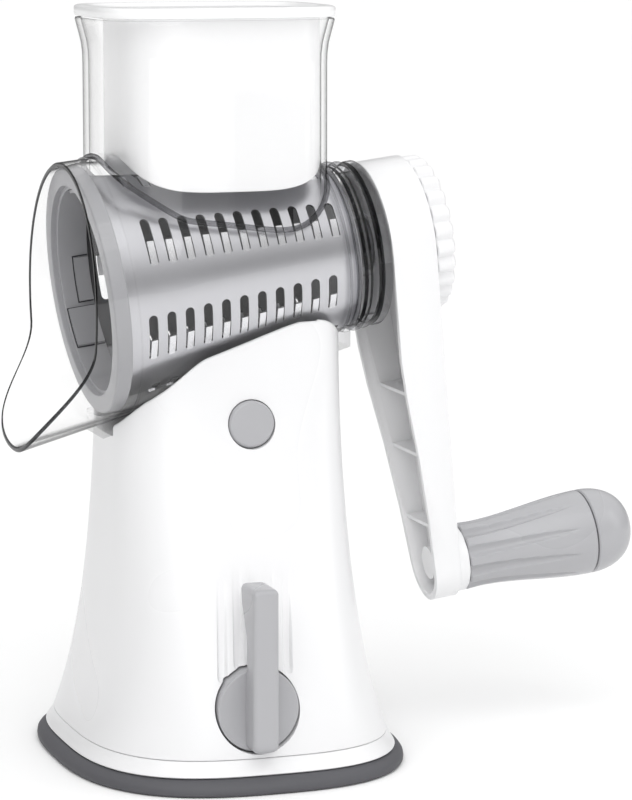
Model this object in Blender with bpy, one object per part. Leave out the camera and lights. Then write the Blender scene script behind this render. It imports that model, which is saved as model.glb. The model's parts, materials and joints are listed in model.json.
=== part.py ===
"""A hand-cranked rotary cheese grater, standing on a suction base.

Metres, +Z up. The origin is the middle of the rubber foot's underside.
+X is the crank's side, -Y is the front with the release button and the suction lever.
"""

from math import cos, exp, pi, radians, sin

import bmesh
import bpy
from mathutils import Vector

# ---------------------------------------------------------------- driving sizes
TOTAL_HEIGHT = 0.285

# drum axis: it leans, with the outlet lower than the crank
AXIS_TILT = radians(7.5)
AXIS_START = Vector((-0.0530, 0.0, 0.1787))

# rubber foot
FOOT_HALF_X = 0.0660
FOOT_HALF_Y = 0.0790
FOOT_HEIGHT = 0.0060
FOOT_SHEET = 0.0026
FOOT_RIM = 0.0075
FOOT_POWER = 2.7

# white tower
TRIM_HEIGHT = 0.0070
TRIM_FLARE = 0.0027
BODY_BASE_HALF_X = 0.0592
BODY_BASE_HALF_Y = 0.0712
BODY_TOP_HALF_X = 0.0440
BODY_TOP_HALF_Y = 0.0310
BODY_FLARE_X = 0.033
BODY_TOP_Z = 0.1675
BODY_SHOULDER = 0.0120
BODY_WALL = 0.0024
BODY_BASE_POWER = 2.9
BODY_TOP_POWER = 4.2

# drum: a cone of sheet metal with rows of slots
DRUM_FRONT_R = 0.0435
DRUM_TAPER = 0.132
DRUM_SHEET = 0.0012
DRUM_END = 0.1000
RING_R = 0.0466
RING_WIDTH = 0.0060
RING_BORE = 0.0383
SLEEVE_LENGTH = 0.0080
SLOT_ROWS = 7
SLOTS_PER_ROW = 11
SLOT_START = 0.0194
SLOT_PITCH = 0.00736
SLOT_WIDTH = 0.0036
SLOT_ANGLE = radians(26)
FIRST_ROW_ANGLE = radians(28.3)

# clear moulding
CLEAR_WALL = 0.0020
RING_CLEARANCE = 0.0008
DRUM_CLEARANCE = 0.0011
BARREL_REAR = 0.1040
BARREL_FLANGE_R = 0.0319
BARREL_FLANGE_END = 0.1137
HOPPER_HALF_X = 0.0433
HOPPER_HALF_Y = 0.0345
HOPPER_CENTRE_X = -0.0042
HOPPER_POWER = 4.0
HOPPER_FLARE = 0.0026
SPOUT_RIM_X = -0.0605
SPOUT_RIM_Z = 0.1763
SPOUT_RIM_R = 0.0508
SPOUT_DROP = 0.0570
SPOUT_LIP = 0.0193
SPOUT_SPREAD = 0.20
RAIL_HALF_Y = 0.0120
RAIL_DEPTH = 0.0040
RAIL_ENDS = (-0.0480, 0.0500)

# pusher
PUSHER_HALF_X = 0.0382
PUSHER_HALF_Y = 0.0310
PUSHER_CENTRE_X = -0.0016
PUSHER_WALL = 0.0020
PUSHER_SADDLE_R = 0.0440
FLANGE_THICKNESS = 0.0041
FLANGE_OVERHANG = 0.0028
FLANGE_GAP = 0.0006

# crank
CRANK_HUB_R = 0.0310
CRANK_FACE = 0.1317
CRANK_WALL = 0.0025
CRANK_LENGTH = 0.1297
CRANK_END_R = 0.0145
COLLAR_LENGTH = 0.0049
SHAFT_R = 0.0060
HEX_R = 0.0056
KNOB_R = 0.0301
KNOB_LENGTH = 0.0084
KNOB_RIBS = 26
KNOB_STEM_R = 0.0035

# grip
GRIP_ROOT_R = 0.0132
GRIP_WAIST_R = 0.0129
GRIP_CAP_R = 0.0168
GRIP_LENGTH = 0.0526
CAP_LENGTH = 0.0186
SPINDLE_R = 0.0035

# release button
BUTTON_R = 0.0089
BUTTON_X = 0.0032
BUTTON_Z = 0.1304
BUTTON_DEPTH = 0.0068
BUTTON_PROUD = 0.0007

# suction knob
LEVER_X = -0.0052
LEVER_Z = 0.0297
LEVER_DISC_R = 0.0155
LEVER_DISC_FACE = 0.0690
LEVER_DISC_DEPTH = 0.0090
LEVER_BAR_WIDTH = 0.0098
LEVER_BAR_FRONT = 0.0788
LEVER_BAR_TOP = 0.0763
CAM_SHAFT_R = 0.0028
CAM_R = 0.0060
CAM_OFFSET = 0.0040
STEM_R = 0.0040

# fits
GAP = 0.0003
SLIDE_FIT = 0.0004
CAM_CLEARANCE = 0.0012

ROUND = 48
SMALL_ROUND = 20

# ---------------------------------------------------------------- colours
WHITE = (0.86, 0.86, 0.87)
GREY = (0.42, 0.42, 0.44)
RUBBER = (0.13, 0.13, 0.145)
STEEL = (0.62, 0.62, 0.64)
CLEAR = (0.92, 0.94, 0.95)


def clear_scene():
    for old in list(bpy.data.objects):
        bpy.data.objects.remove(old, do_unlink=True)


def material(name, colour, roughness, metallic=0.0, alpha=1.0):
    made = bpy.data.materials.new(name)
    made.use_nodes = True
    shader = made.node_tree.nodes["Principled BSDF"]
    shader.inputs["Base Color"].default_value = (*colour, 1.0)
    shader.inputs["Roughness"].default_value = roughness
    shader.inputs["Metallic"].default_value = metallic
    shader.inputs["Alpha"].default_value = alpha
    return made


# ---------------------------------------------------------------- mesh helpers
def add(name, mesh_data, surface, parent=None, smooth=True):
    """Makes one object from a bmesh, its faces pointing out, under its parent's frame."""
    bmesh.ops.recalc_face_normals(mesh_data, faces=mesh_data.faces)
    mesh = bpy.data.meshes.new(name)
    mesh_data.to_mesh(mesh)
    mesh_data.free()
    if smooth:
        mesh.shade_smooth()
        mesh.set_sharp_from_angle(angle=radians(35))
    mesh.materials.append(surface)
    made = bpy.data.objects.new(name, mesh)
    bpy.context.scene.collection.objects.link(made)
    made.parent = parent
    return made


def empty(name, location, rotation=(0, 0, 0), parent=None):
    made = bpy.data.objects.new(name, None)
    bpy.context.scene.collection.objects.link(made)
    made.location = location
    made.rotation_euler = rotation
    made.parent = parent
    return made


def under(made, parent):
    """Parents a piece that was built in place to an empty that has no rotation."""
    made.parent = parent
    made.location = -parent.location
    return made


def cut(target, tool, operation="DIFFERENCE"):
    tool.hide_render = True
    tool.display_type = "WIRE"
    step = target.modifiers.new(tool.name, "BOOLEAN")
    step.operation = operation
    step.object = tool
    return target


def join_on(target, tool):
    return cut(target, tool, "UNION")


def turned(profile, segments=ROUND):
    """Turns a closed outline of (radius, height) points about local Z.

    A flat end that reaches the axis becomes one face; a pointed one becomes a fan.
    """
    made = bmesh.new()
    flat_start = profile[0][0] == 0 and profile[0][1] == profile[1][1]
    flat_end = profile[-1][0] == 0 and profile[-1][1] == profile[-2][1]
    outline = profile[int(flat_start):len(profile) - int(flat_end)]
    rings = []
    for radius, height in outline:
        count = 1 if radius == 0 else segments
        angles = [2 * pi * i / segments for i in range(count)]
        rings.append([made.verts.new((radius * cos(a), radius * sin(a), height)) for a in angles])
    closed = not (flat_start or flat_end or outline[0][0] == 0 or outline[-1][0] == 0)
    for low, high in zip(rings, rings[1:] + rings[:1] if closed else rings[1:]):
        if len(low) + len(high) == 2:
            continue
        for i in range(segments):
            j = (i + 1) % segments
            corners = [low[i % len(low)], low[j % len(low)], high[j % len(high)], high[i % len(high)]]
            made.faces.new(list(dict.fromkeys(corners)))
    if flat_start:
        made.faces.new(rings[0])
    if flat_end:
        made.faces.new(rings[-1])
    return made


def lofted(loops, closed=False):
    """Joins equal loops of points, with an end face on the first and last unless it is closed."""
    made = bmesh.new()
    rows = [[made.verts.new(point) for point in loop] for loop in loops]
    following = rows[1:] + rows[:1] if closed else rows[1:]
    for low, high in zip(rows, following):
        for i in range(len(low)):
            j = (i + 1) % len(low)
            made.faces.new((low[i], low[j], high[j], high[i]))
    if not closed:
        made.faces.new(rows[0])
        made.faces.new(rows[-1])
    return made


def block(low, high):
    corners = [(low[0], low[1]), (high[0], low[1]), (high[0], high[1]), (low[0], high[1])]
    return lofted([[(x, y, z) for x, y in corners] for z in (low[2], high[2])])


def prism_along_y(outline, low, high):
    return lofted([[(x, y, z) for x, z in outline] for y in (low, high)])


def prism_along_x(outline, low, high):
    return lofted([[(x, y, z) for y, z in outline] for x in (low, high)])


def rounded_loop(half_x, half_y, power, z, centre_x=0.0, count=ROUND):
    """A rounded rectangle as a superellipse: power 2 is an ellipse, and more is squarer."""
    points = []
    for i in range(count):
        angle = 2 * pi * (i + 0.5) / count
        across, along = cos(angle), sin(angle)
        x = half_x * abs(across) ** (2 / power) * (1 if across > 0 else -1)
        y = half_y * abs(along) ** (2 / power) * (1 if along > 0 else -1)
        points.append((centre_x + x, y, z))
    return points


# ---------------------------------------------------------------- shared geometry
AXIS_ALONG = Vector((cos(AXIS_TILT), 0, sin(AXIS_TILT)))
AXIS_UP = Vector((-sin(AXIS_TILT), 0, cos(AXIS_TILT)))
FOOT_TOP = FOOT_HEIGHT
TRIM_LOW = FOOT_TOP + GAP
BODY_LOW = TRIM_LOW + TRIM_HEIGHT
FLANGE_LOW = TOTAL_HEIGHT - FLANGE_THICKNESS
HOPPER_TOP = FLANGE_LOW - FLANGE_GAP


def on_axis(along, up=0.0, side=0.0):
    """A point beside the drum's axis: distance along it, then up and across from it."""
    return AXIS_START + along * AXIS_ALONG + up * AXIS_UP + Vector((0, side, 0))


def drum_radius(along):
    return DRUM_FRONT_R - DRUM_TAPER * along


def barrel_bore(along):
    """Inner radius of the clear barrel: round the ring first, then close to the drum."""
    wide = RING_R + RING_CLEARANCE
    close = drum_radius(along) + DRUM_CLEARANCE
    ring_end = RING_WIDTH + 0.003
    blend = min(max((along - ring_end) / 0.028, 0.0), 1.0)
    blend = blend * blend * (3 - 2 * blend)
    return wide + (close - wide) * blend


def body_half_x(z):
    flare = exp(-(z - BODY_LOW) / BODY_FLARE_X)
    return BODY_TOP_HALF_X + (BODY_BASE_HALF_X - BODY_TOP_HALF_X) * flare


def body_rise(z):
    """0 at the tower's foot, 1 where its front stands upright."""
    return min(max((z - BODY_LOW) / (BODY_TOP_Z - BODY_LOW), 0.0), 1.0)


def body_half_y(z):
    lean = 0.5 * (1 + cos(pi * body_rise(z) ** 0.8))
    return BODY_TOP_HALF_Y + (BODY_BASE_HALF_Y - BODY_TOP_HALF_Y) * lean


def body_power(z):
    return BODY_BASE_POWER + (BODY_TOP_POWER - BODY_BASE_POWER) * body_rise(z)


def body_loop(z, inset=0.0):
    return rounded_loop(body_half_x(z) - inset, body_half_y(z) - inset, body_power(z), z)


def body_levels(low, high, count):
    return [low + (high - low) * (i / count) ** 1.4 for i in range(count + 1)]


def barrel_outside(along):
    return barrel_bore(along) + CLEAR_WALL


RAIL_FROM = on_axis(RING_WIDTH, up=-barrel_outside(RING_WIDTH))
RAIL_TO = on_axis(0.090, up=-barrel_outside(0.090))
RAIL_SLOPE = (RAIL_TO.z - RAIL_FROM.z) / (RAIL_TO.x - RAIL_FROM.x)


def barrel_underside(x):
    """Height of the straight line along the barrel's underside."""
    return RAIL_FROM.z + RAIL_SLOPE * (x - RAIL_FROM.x)


def rail_underside(x):
    return barrel_underside(x) - RAIL_DEPTH


def shell_ceiling(x):
    return rail_underside(x) - SLIDE_FIT - BODY_WALL


# ---------------------------------------------------------------- base
def make_foot(surface):
    """Rubber foot: a flat sheet with a thick rim that bulges outward."""
    outer = [(-0.0008, 0.0), (0.0, 0.0012), (0.0, 0.0032), (-0.0032, FOOT_HEIGHT)]
    loops = [
        rounded_loop(FOOT_HALF_X + grow, FOOT_HALF_Y + grow, FOOT_POWER, z) for grow, z in outer
    ]
    rim = -0.0032 - FOOT_RIM
    for z in (FOOT_HEIGHT, FOOT_SHEET):
        loops.append(rounded_loop(FOOT_HALF_X + rim, FOOT_HALF_Y + rim, FOOT_POWER, z))
    return add("suction_pad", lofted(loops), surface)


def make_trim(surface):
    """White ring between the foot and the parting line."""
    top_x, top_y = BODY_BASE_HALF_X, BODY_BASE_HALF_Y
    top = BODY_LOW - GAP
    power = BODY_BASE_POWER
    loops = [
        rounded_loop(top_x + TRIM_FLARE, top_y + TRIM_FLARE * 1.3, power, TRIM_LOW),
        rounded_loop(top_x + 0.4 * TRIM_FLARE, top_y + 0.5 * TRIM_FLARE, power, 0.5 * (TRIM_LOW + top)),
        rounded_loop(top_x, top_y, power, top),
        rounded_loop(top_x - BODY_WALL, top_y - BODY_WALL, power, top),
        rounded_loop(top_x + TRIM_FLARE - BODY_WALL, top_y + TRIM_FLARE - BODY_WALL, power, TRIM_LOW),
    ]
    return add("trim_skirt", lofted(loops, closed=True), surface)


PLATE_LOW = 0.0090
PLATE_HIGH = 0.0115
SCREW_PLACES = [(sx * 0.0440, sy * 0.0380) for sx in (-1, 1) for sy in (-1, 1)]
SCREW_R = 0.0015
SCREW_HEAD_R = 0.0032
BOSS_R = 0.0045
BOSS_TOP = 0.0300
GUIDE_TOP = 0.0160
STEM_REST_Z = 0.0030
STEM_FLANGE = 0.0016
YOKE_LOW = 0.0175
YOKE_HALF_DEPTH = 0.0030
YOKE_BAR = 0.0048
WINDOW_HALF = CAM_R + CAM_CLEARANCE
CAM_REST_X = LEVER_X - CAM_OFFSET
BEARING_Y = (0.0080, 0.0120)


def make_plate(surface):
    """Chassis over the foot, with the stem's guide tube and the cam shaft's rear bearing."""
    half_x = BODY_BASE_HALF_X - BODY_WALL - GAP
    half_y = BODY_BASE_HALF_Y - BODY_WALL - GAP
    loops = [rounded_loop(half_x, half_y, BODY_BASE_POWER, z) for z in (PLATE_LOW, PLATE_HIGH)]
    plate = add("base_plate", lofted(loops), surface)
    tube = [(0, PLATE_LOW + 0.001), (0.0070, PLATE_LOW + 0.001), (0.0070, GUIDE_TOP), (0, GUIDE_TOP)]
    join_on(plate, add("guide_tube", turned(tube, SMALL_ROUND), surface))
    bearing_top = LEVER_Z + 0.0075
    bearing = block(
        (LEVER_X - 0.007, BEARING_Y[0], PLATE_LOW + 0.001), (LEVER_X + 0.007, BEARING_Y[1], bearing_top)
    )
    join_on(plate, add("bearing_post", bearing, surface, smooth=False))
    bore = STEM_R + SLIDE_FIT
    hole = [(0, 0), (bore, 0), (bore, 0.05), (0, 0.05)]
    cut(plate, add("stem_bore", turned(hole, SMALL_ROUND), surface))
    bore = CAM_SHAFT_R + SLIDE_FIT
    hole = [(0, 0), (bore, 0), (bore, 0.01), (0, 0.01)]
    shaft_hole = add("bearing_bore", turned(hole, SMALL_ROUND), surface)
    shaft_hole.location = (LEVER_X, BEARING_Y[1] + 0.002, LEVER_Z)
    shaft_hole.rotation_euler = (pi / 2, 0, 0)
    cut(plate, shaft_hole)
    for index, (x, y) in enumerate(SCREW_PLACES):
        hole = [(0, 0), (SCREW_R + GAP, 0), (SCREW_R + GAP, 0.02), (0, 0.02)]
        screw_hole = add(f"plate_hole_{index}", turned(hole, 12), surface)
        screw_hole.location = (x, y, 0)
        cut(plate, screw_hole)
    return plate


def make_screws(surface):
    head_low, head_high = PLATE_LOW - GAP - 0.0018, PLATE_LOW - GAP
    tip = BOSS_TOP - 0.006
    profile = [(0, head_low), (SCREW_HEAD_R, head_low), (SCREW_HEAD_R, head_high), (SCREW_R, head_high)]
    profile += [(SCREW_R, tip - 0.001), (0, tip)]
    for index, (x, y) in enumerate(SCREW_PLACES):
        screw = add(f"base_screw_{index + 1}", turned(profile, 12), surface)
        screw.location = (x, y, 0)


def make_stem(surface, parent):
    """Rod and yoke that lift the foot's middle: the eccentric turns in the yoke's window."""
    flange_top = STEM_REST_Z + STEM_FLANGE
    profile = [(0, STEM_REST_Z), (0.014, STEM_REST_Z), (0.014, flange_top), (STEM_R, flange_top)]
    profile += [(STEM_R, YOKE_LOW + 0.002), (0, YOKE_LOW + 0.002)]
    stem = add("suction_stem", turned(profile, SMALL_ROUND), surface, parent)
    window_x = (CAM_REST_X - WINDOW_HALF, LEVER_X + WINDOW_HALF)
    window_z = (LEVER_Z - WINDOW_HALF, LEVER_Z + WINDOW_HALF)
    outer = block(
        (window_x[0] - YOKE_BAR, -YOKE_HALF_DEPTH, YOKE_LOW),
        (window_x[1] + YOKE_BAR, YOKE_HALF_DEPTH, window_z[1] + YOKE_BAR),
    )
    join_on(stem, add("yoke", outer, surface, parent, smooth=False))
    inner = block((window_x[0], -0.01, window_z[0]), (window_x[1], 0.01, window_z[1]))
    cut(stem, add("yoke_window", inner, surface, parent, smooth=False))
    return stem


def facing_front(made):
    """Lays a turned piece along Y, its local Z pointing to the front."""
    made.rotation_euler = (pi / 2, 0, 0)
    return made


def make_cam_shaft(surface, parent):
    front = LEVER_DISC_FACE - 0.0035
    profile = [(0, -BEARING_Y[1] - 0.002), (CAM_SHAFT_R, -BEARING_Y[1] - 0.002)]
    profile += [(CAM_SHAFT_R, front), (0, front)]
    shaft = facing_front(add("cam_shaft", turned(profile, SMALL_ROUND), surface, parent))
    half = YOKE_HALF_DEPTH + 0.0006
    disc = [(0, -half), (CAM_R, -half), (CAM_R, half), (0, half)]
    cam = facing_front(add("eccentric", turned(disc, SMALL_ROUND), surface, parent))
    cam.location.x = -CAM_OFFSET
    return join_on(shaft, cam)


WEB_FRONT = 0.0598
WEB_BACK = 0.0574


def make_shaft_clip(surface, parent):
    back = WEB_BACK - GAP
    inner = CAM_SHAFT_R + GAP
    profile = [(inner, back - 0.001), (0.0055, back - 0.001), (0.0055, back), (inner, back)]
    return facing_front(add("shaft_clip", turned(profile, SMALL_ROUND), surface, parent))


def make_suction_lever(surface, parent):
    """Dished disc with a bar across it that stands up along the tower's front."""
    face, back = LEVER_DISC_FACE, LEVER_DISC_FACE - LEVER_DISC_DEPTH
    radius = LEVER_DISC_R
    profile = [(0, back), (radius, back), (radius, face - 0.0008), (radius - 0.0008, face)]
    profile += [(radius - 0.0022, face), (radius - 0.0035, face - 0.0016), (0, face - 0.0030)]
    lever = facing_front(add("suction_lever", turned(profile), surface, parent))
    front = -LEVER_BAR_FRONT
    low, high = 0.0008 - radius, LEVER_BAR_TOP - LEVER_Z
    bevel = 0.0012
    outline = [(front + bevel, low), (front, low + 2 * bevel), (front, high - bevel)]
    outline += [(front + bevel, high), (front + 0.0148, high), (front + 0.0160, high - bevel)]
    outline += [(front + 0.0150, 0.0395), (front + 0.0112, 0.0330), (front + 0.0086, 0.0270)]
    outline += [(front + 0.0086, radius - 0.0005), (-face + 0.0060, radius - 0.003)]
    outline += [(-face + 0.0060, low + 0.003), (-face + 0.001, low)]
    half = 0.5 * LEVER_BAR_WIDTH
    join_on(lever, add("lever_bar", prism_along_x(outline, -half, half), surface, parent, smooth=False))
    bore = CAM_SHAFT_R + GAP
    hole = [(0, 0), (bore, 0), (bore, LEVER_DISC_FACE - 0.0031), (0, LEVER_DISC_FACE - 0.0031)]
    cut(lever, facing_front(add("lever_bore", turned(hole, SMALL_ROUND), surface, parent)))
    return lever


# ---------------------------------------------------------------- tower
def front_wall(z, x):
    """Distance from the middle to the tower's front at this height."""
    half_x, half_y, power = body_half_x(z), body_half_y(z), body_power(z)
    return half_y * (1 - abs(x / half_x) ** power) ** (1 / power)


BUTTON_FACE = front_wall(BUTTON_Z, BUTTON_X) + BUTTON_PROUD
BUTTON_BACK = BUTTON_FACE - BUTTON_DEPTH
BUTTON_TRAVEL = 0.0030
LATCH_LOW = BUTTON_Z - 0.0004
LATCH_HIGH = LATCH_LOW + 0.0020
CATCH_X = 0.0032
CATCH_HALF_X = 0.0040
CATCH_HALF_Y = 0.0015
BARB = 0.0028
SPRING_Z = BUTTON_Z - 0.0059
SPRING_R = 0.0026
SPRING_WIRE_R = 0.0005
SPRING_SEAT = BUTTON_BACK - 0.0153


def shoulder_outline():
    """Everything over the tower's top, with a rounded shoulder at the crank's end."""
    middle = (BODY_TOP_HALF_X - BODY_SHOULDER, BODY_TOP_Z - BODY_SHOULDER)
    points = [(-0.08, BODY_TOP_Z + 0.03), (-0.08, BODY_TOP_Z)]
    for i in range(7):
        angle = pi / 2 - i * pi / 12
        reach = BODY_SHOULDER + 0.0004
        points.append((middle[0] + reach * cos(angle), middle[1] + reach * sin(angle)))
    points += [(0.08, middle[1]), (0.08, BODY_TOP_Z + 0.03)]
    return points


def saddle_profile(low, high, steps=12):
    """Outline for turning: the clear barrel's outside with a clearance, opening out under the spout."""
    points = [(0, low)]
    for i in range(steps + 1):
        along = low + (high - low) * i / steps
        spread = SPOUT_SPREAD * max(RING_WIDTH + 0.005 - along, 0)
        points.append((barrel_outside(max(along, 0)) + SLIDE_FIT + spread, along))
    return points + [(0, high)]


def rail_outline(grow):
    """Side view of the rail under the barrel."""
    left, right = RAIL_ENDS
    low_left, low_right = rail_underside(left) - grow, rail_underside(right) - grow
    bottom = [(left, low_left), (right, low_right)]
    return bottom + [(right, low_right + 0.012), (left, low_left + 0.008)]


def make_shell(surface, axis):
    levels = body_levels(BODY_LOW, BODY_TOP_Z + 0.002, 9)
    shell = add("body_shell", lofted([body_loop(z) for z in levels]), surface)
    levels = body_levels(BODY_LOW - 0.001, 0.115, 6)
    inner = [body_loop(z, BODY_WALL) for z in levels]
    inner.append([(x, y, shell_ceiling(x)) for x, y, _ in body_loop(0.135, BODY_WALL)])
    cut(shell, add("inner_space", lofted(inner), surface))
    for index, (x, y) in enumerate(SCREW_PLACES):
        low = PLATE_HIGH + GAP
        profile = [(0, low), (BOSS_R, low), (BOSS_R, BOSS_TOP), (0, BOSS_TOP)]
        boss = add(f"boss_{index}", turned(profile, 16), surface)
        boss.location = (x, y, 0)
        join_on(shell, boss)
        pilot = SCREW_R + GAP
        depth = BOSS_TOP - 0.004
        hole = add(f"pilot_{index}", turned([(0, 0), (pilot, 0), (pilot, depth), (0, depth)], 12), surface)
        hole.location = (x, y, 0)
        cut(shell, hole)
    join_on(shell, add("knob_web", knob_web(), surface, smooth=False))
    join_on(shell, add("spring_bracket", spring_bracket(), surface, smooth=False))
    cut(shell, add("shoulder", prism_along_y(shoulder_outline(), -0.09, 0.09), surface, smooth=False))
    cut(shell, add("saddle", turned(saddle_profile(-0.031, 0.125)), surface, axis))
    channel = prism_along_y(rail_outline(SLIDE_FIT), -RAIL_HALF_Y - SLIDE_FIT, RAIL_HALF_Y + SLIDE_FIT)
    cut(shell, add("rail_channel", channel, surface, smooth=False))
    catch_slot = block(
        (CATCH_X - CATCH_HALF_X - GAP, -CATCH_HALF_Y - GAP, LATCH_HIGH + 0.001),
        (CATCH_X + CATCH_HALF_X + GAP, CATCH_HALF_Y + BARB + GAP, rail_underside(CATCH_X) + 0.004),
    )
    cut(shell, add("catch_slot", catch_slot, surface, smooth=False))
    bore = BUTTON_R + GAP
    button_hole = add("button_bore", turned([(0, 0), (bore, 0), (bore, 0.03), (0, 0.03)], 40), surface)
    button_hole.location = (BUTTON_X, -0.022, BUTTON_Z)
    cut(shell, facing_front(button_hole))
    bore = LEVER_DISC_R + SLIDE_FIT
    profile = [(0, WEB_FRONT), (bore, WEB_FRONT), (bore, 0.09), (0, 0.09)]
    disc_hole = add("disc_bore", turned(profile), surface)
    disc_hole.location = (LEVER_X, 0, LEVER_Z)
    cut(shell, facing_front(disc_hole))
    bore = CAM_SHAFT_R + SLIDE_FIT
    profile = [(0, 0.03), (bore, 0.03), (bore, 0.08), (0, 0.08)]
    shaft_hole = add("shaft_bore", turned(profile, SMALL_ROUND), surface)
    shaft_hole.location = (LEVER_X, 0, LEVER_Z)
    cut(shell, facing_front(shaft_hole))
    return shell


def knob_web():
    """Inner plate behind the suction knob, which the cam shaft turns in."""
    reach = LEVER_DISC_R + 0.006
    low = (LEVER_X - reach, -WEB_FRONT, BODY_LOW)
    high = (LEVER_X + reach, -WEB_BACK, LEVER_Z + LEVER_DISC_R + 0.0045)
    return block(low, high)


def spring_bracket():
    """Ledge on the front wall with an upright that the button's spring pushes on."""
    ledge = BUTTON_Z - BUTTON_R - 0.0045
    wall = front_wall(ledge, BUTTON_X) - 0.5 * BODY_WALL
    seat = SPRING_SEAT
    outline = [(-wall, ledge), (-seat + 0.002, ledge), (-seat + 0.002, LATCH_LOW - 0.0006)]
    outline += [(-seat, LATCH_LOW - 0.0006), (-seat, ledge + 0.002), (-wall, ledge + 0.002)]
    return prism_along_x(outline, BUTTON_X - 0.005, BUTTON_X + 0.005)


# ---------------------------------------------------------------- release button
def make_button(surface, parent):
    depth = BUTTON_DEPTH
    profile = [(0, -depth), (BUTTON_R, -depth), (BUTTON_R, -0.0009), (BUTTON_R - 0.0009, 0), (0, 0)]
    return facing_front(add("release_button", turned(profile, 40), surface, parent))


def make_latch(surface, parent):
    """Sliding plate behind the button: its window holds the barrel's hook."""
    front = -BUTTON_BACK + GAP
    half_y = CATCH_HALF_Y
    back = half_y + GAP + 0.006
    plate = block((CATCH_X - 0.0085, front, LATCH_LOW), (CATCH_X + 0.0085, back, LATCH_HIGH))
    latch = add("latch_plate", plate, surface, smooth=False)
    window = block(
        (CATCH_X - CATCH_HALF_X - 0.0005, -half_y - BUTTON_TRAVEL - 0.0006, LATCH_LOW - 0.01),
        (CATCH_X + CATCH_HALF_X + 0.0005, half_y + GAP, LATCH_HIGH + 0.01),
    )
    cut(latch, add("latch_window", window, surface, smooth=False))
    return under(latch, parent)


def make_button_spring(surface):
    """Coil spring between the button's back and the bracket, laid along Y."""
    turns, per_turn, sides = 4, 12, 6
    front, back = -BUTTON_BACK + 0.0009, -SPRING_SEAT - 0.0009
    centre = Vector((BUTTON_X, 0, SPRING_Z))
    pitch = (back - front) / turns
    loops = []
    for i in range(turns * per_turn + 1):
        angle = 2 * pi * i / per_turn
        outward = Vector((cos(angle), 0, sin(angle)))
        along = Vector((-SPRING_R * sin(angle), pitch / (2 * pi), SPRING_R * cos(angle))).normalized()
        across = along.cross(outward)
        middle = centre + SPRING_R * outward + Vector((0, front + pitch * i / per_turn, 0))
        turn = [2 * pi * k / sides for k in range(sides)]
        loops.append([middle + SPRING_WIRE_R * (cos(a) * outward + sin(a) * across) for a in turn])
    return add("button_spring", lofted(loops), surface)


# ---------------------------------------------------------------- clear moulding
def spout_rim(shrink):
    """The spout's rim: an upright half circle over a lip that runs forward and down."""
    points = []
    for i in range(ROUND):
        angle = 2 * pi * i / ROUND
        across, up = sin(angle), cos(angle)
        drop = max(-up, 0.0)
        ease = min(max((drop - 0.25) / 0.75, 0.0), 1.0)
        ease = ease * ease * (3 - 2 * ease)
        radius = SPOUT_RIM_R - shrink
        height = radius if up > 0 else SPOUT_DROP - shrink
        points.append((SPOUT_RIM_X - SPOUT_LIP * ease, across * radius, SPOUT_RIM_Z + up * height))
    return points


def barrel_ring(along, radius):
    points = []
    for i in range(ROUND):
        angle = 2 * pi * i / ROUND
        points.append(tuple(on_axis(along, up=radius * cos(angle), side=radius * sin(angle))))
    return points


def spout(start):
    """The spout's wall, from inside the barrel's mouth out to its rim."""
    bite = 0.3 * CLEAR_WALL
    mouth_out = barrel_ring(start, barrel_outside(start) - bite)
    mouth_in = barrel_ring(start, barrel_bore(start) + bite)
    loops = [mouth_out, spout_rim(0), spout_rim(CLEAR_WALL), mouth_in]
    return lofted(loops, closed=True)


def hopper(shrink, low, high):
    half_x, half_y = HOPPER_HALF_X - shrink, HOPPER_HALF_Y - shrink
    levels = [(low, 0), (HOPPER_TOP - 0.016, 0), (HOPPER_TOP - 0.009, 0.25), (HOPPER_TOP, 1)]
    if high > HOPPER_TOP:
        levels.append((high, 1 + (high - HOPPER_TOP) / 0.009))
    loops = []
    for z, share in levels:
        grow = HOPPER_FLARE * share
        loops.append(rounded_loop(half_x + grow, half_y + grow, HOPPER_POWER, z, HOPPER_CENTRE_X))
    return lofted(loops)


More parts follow.
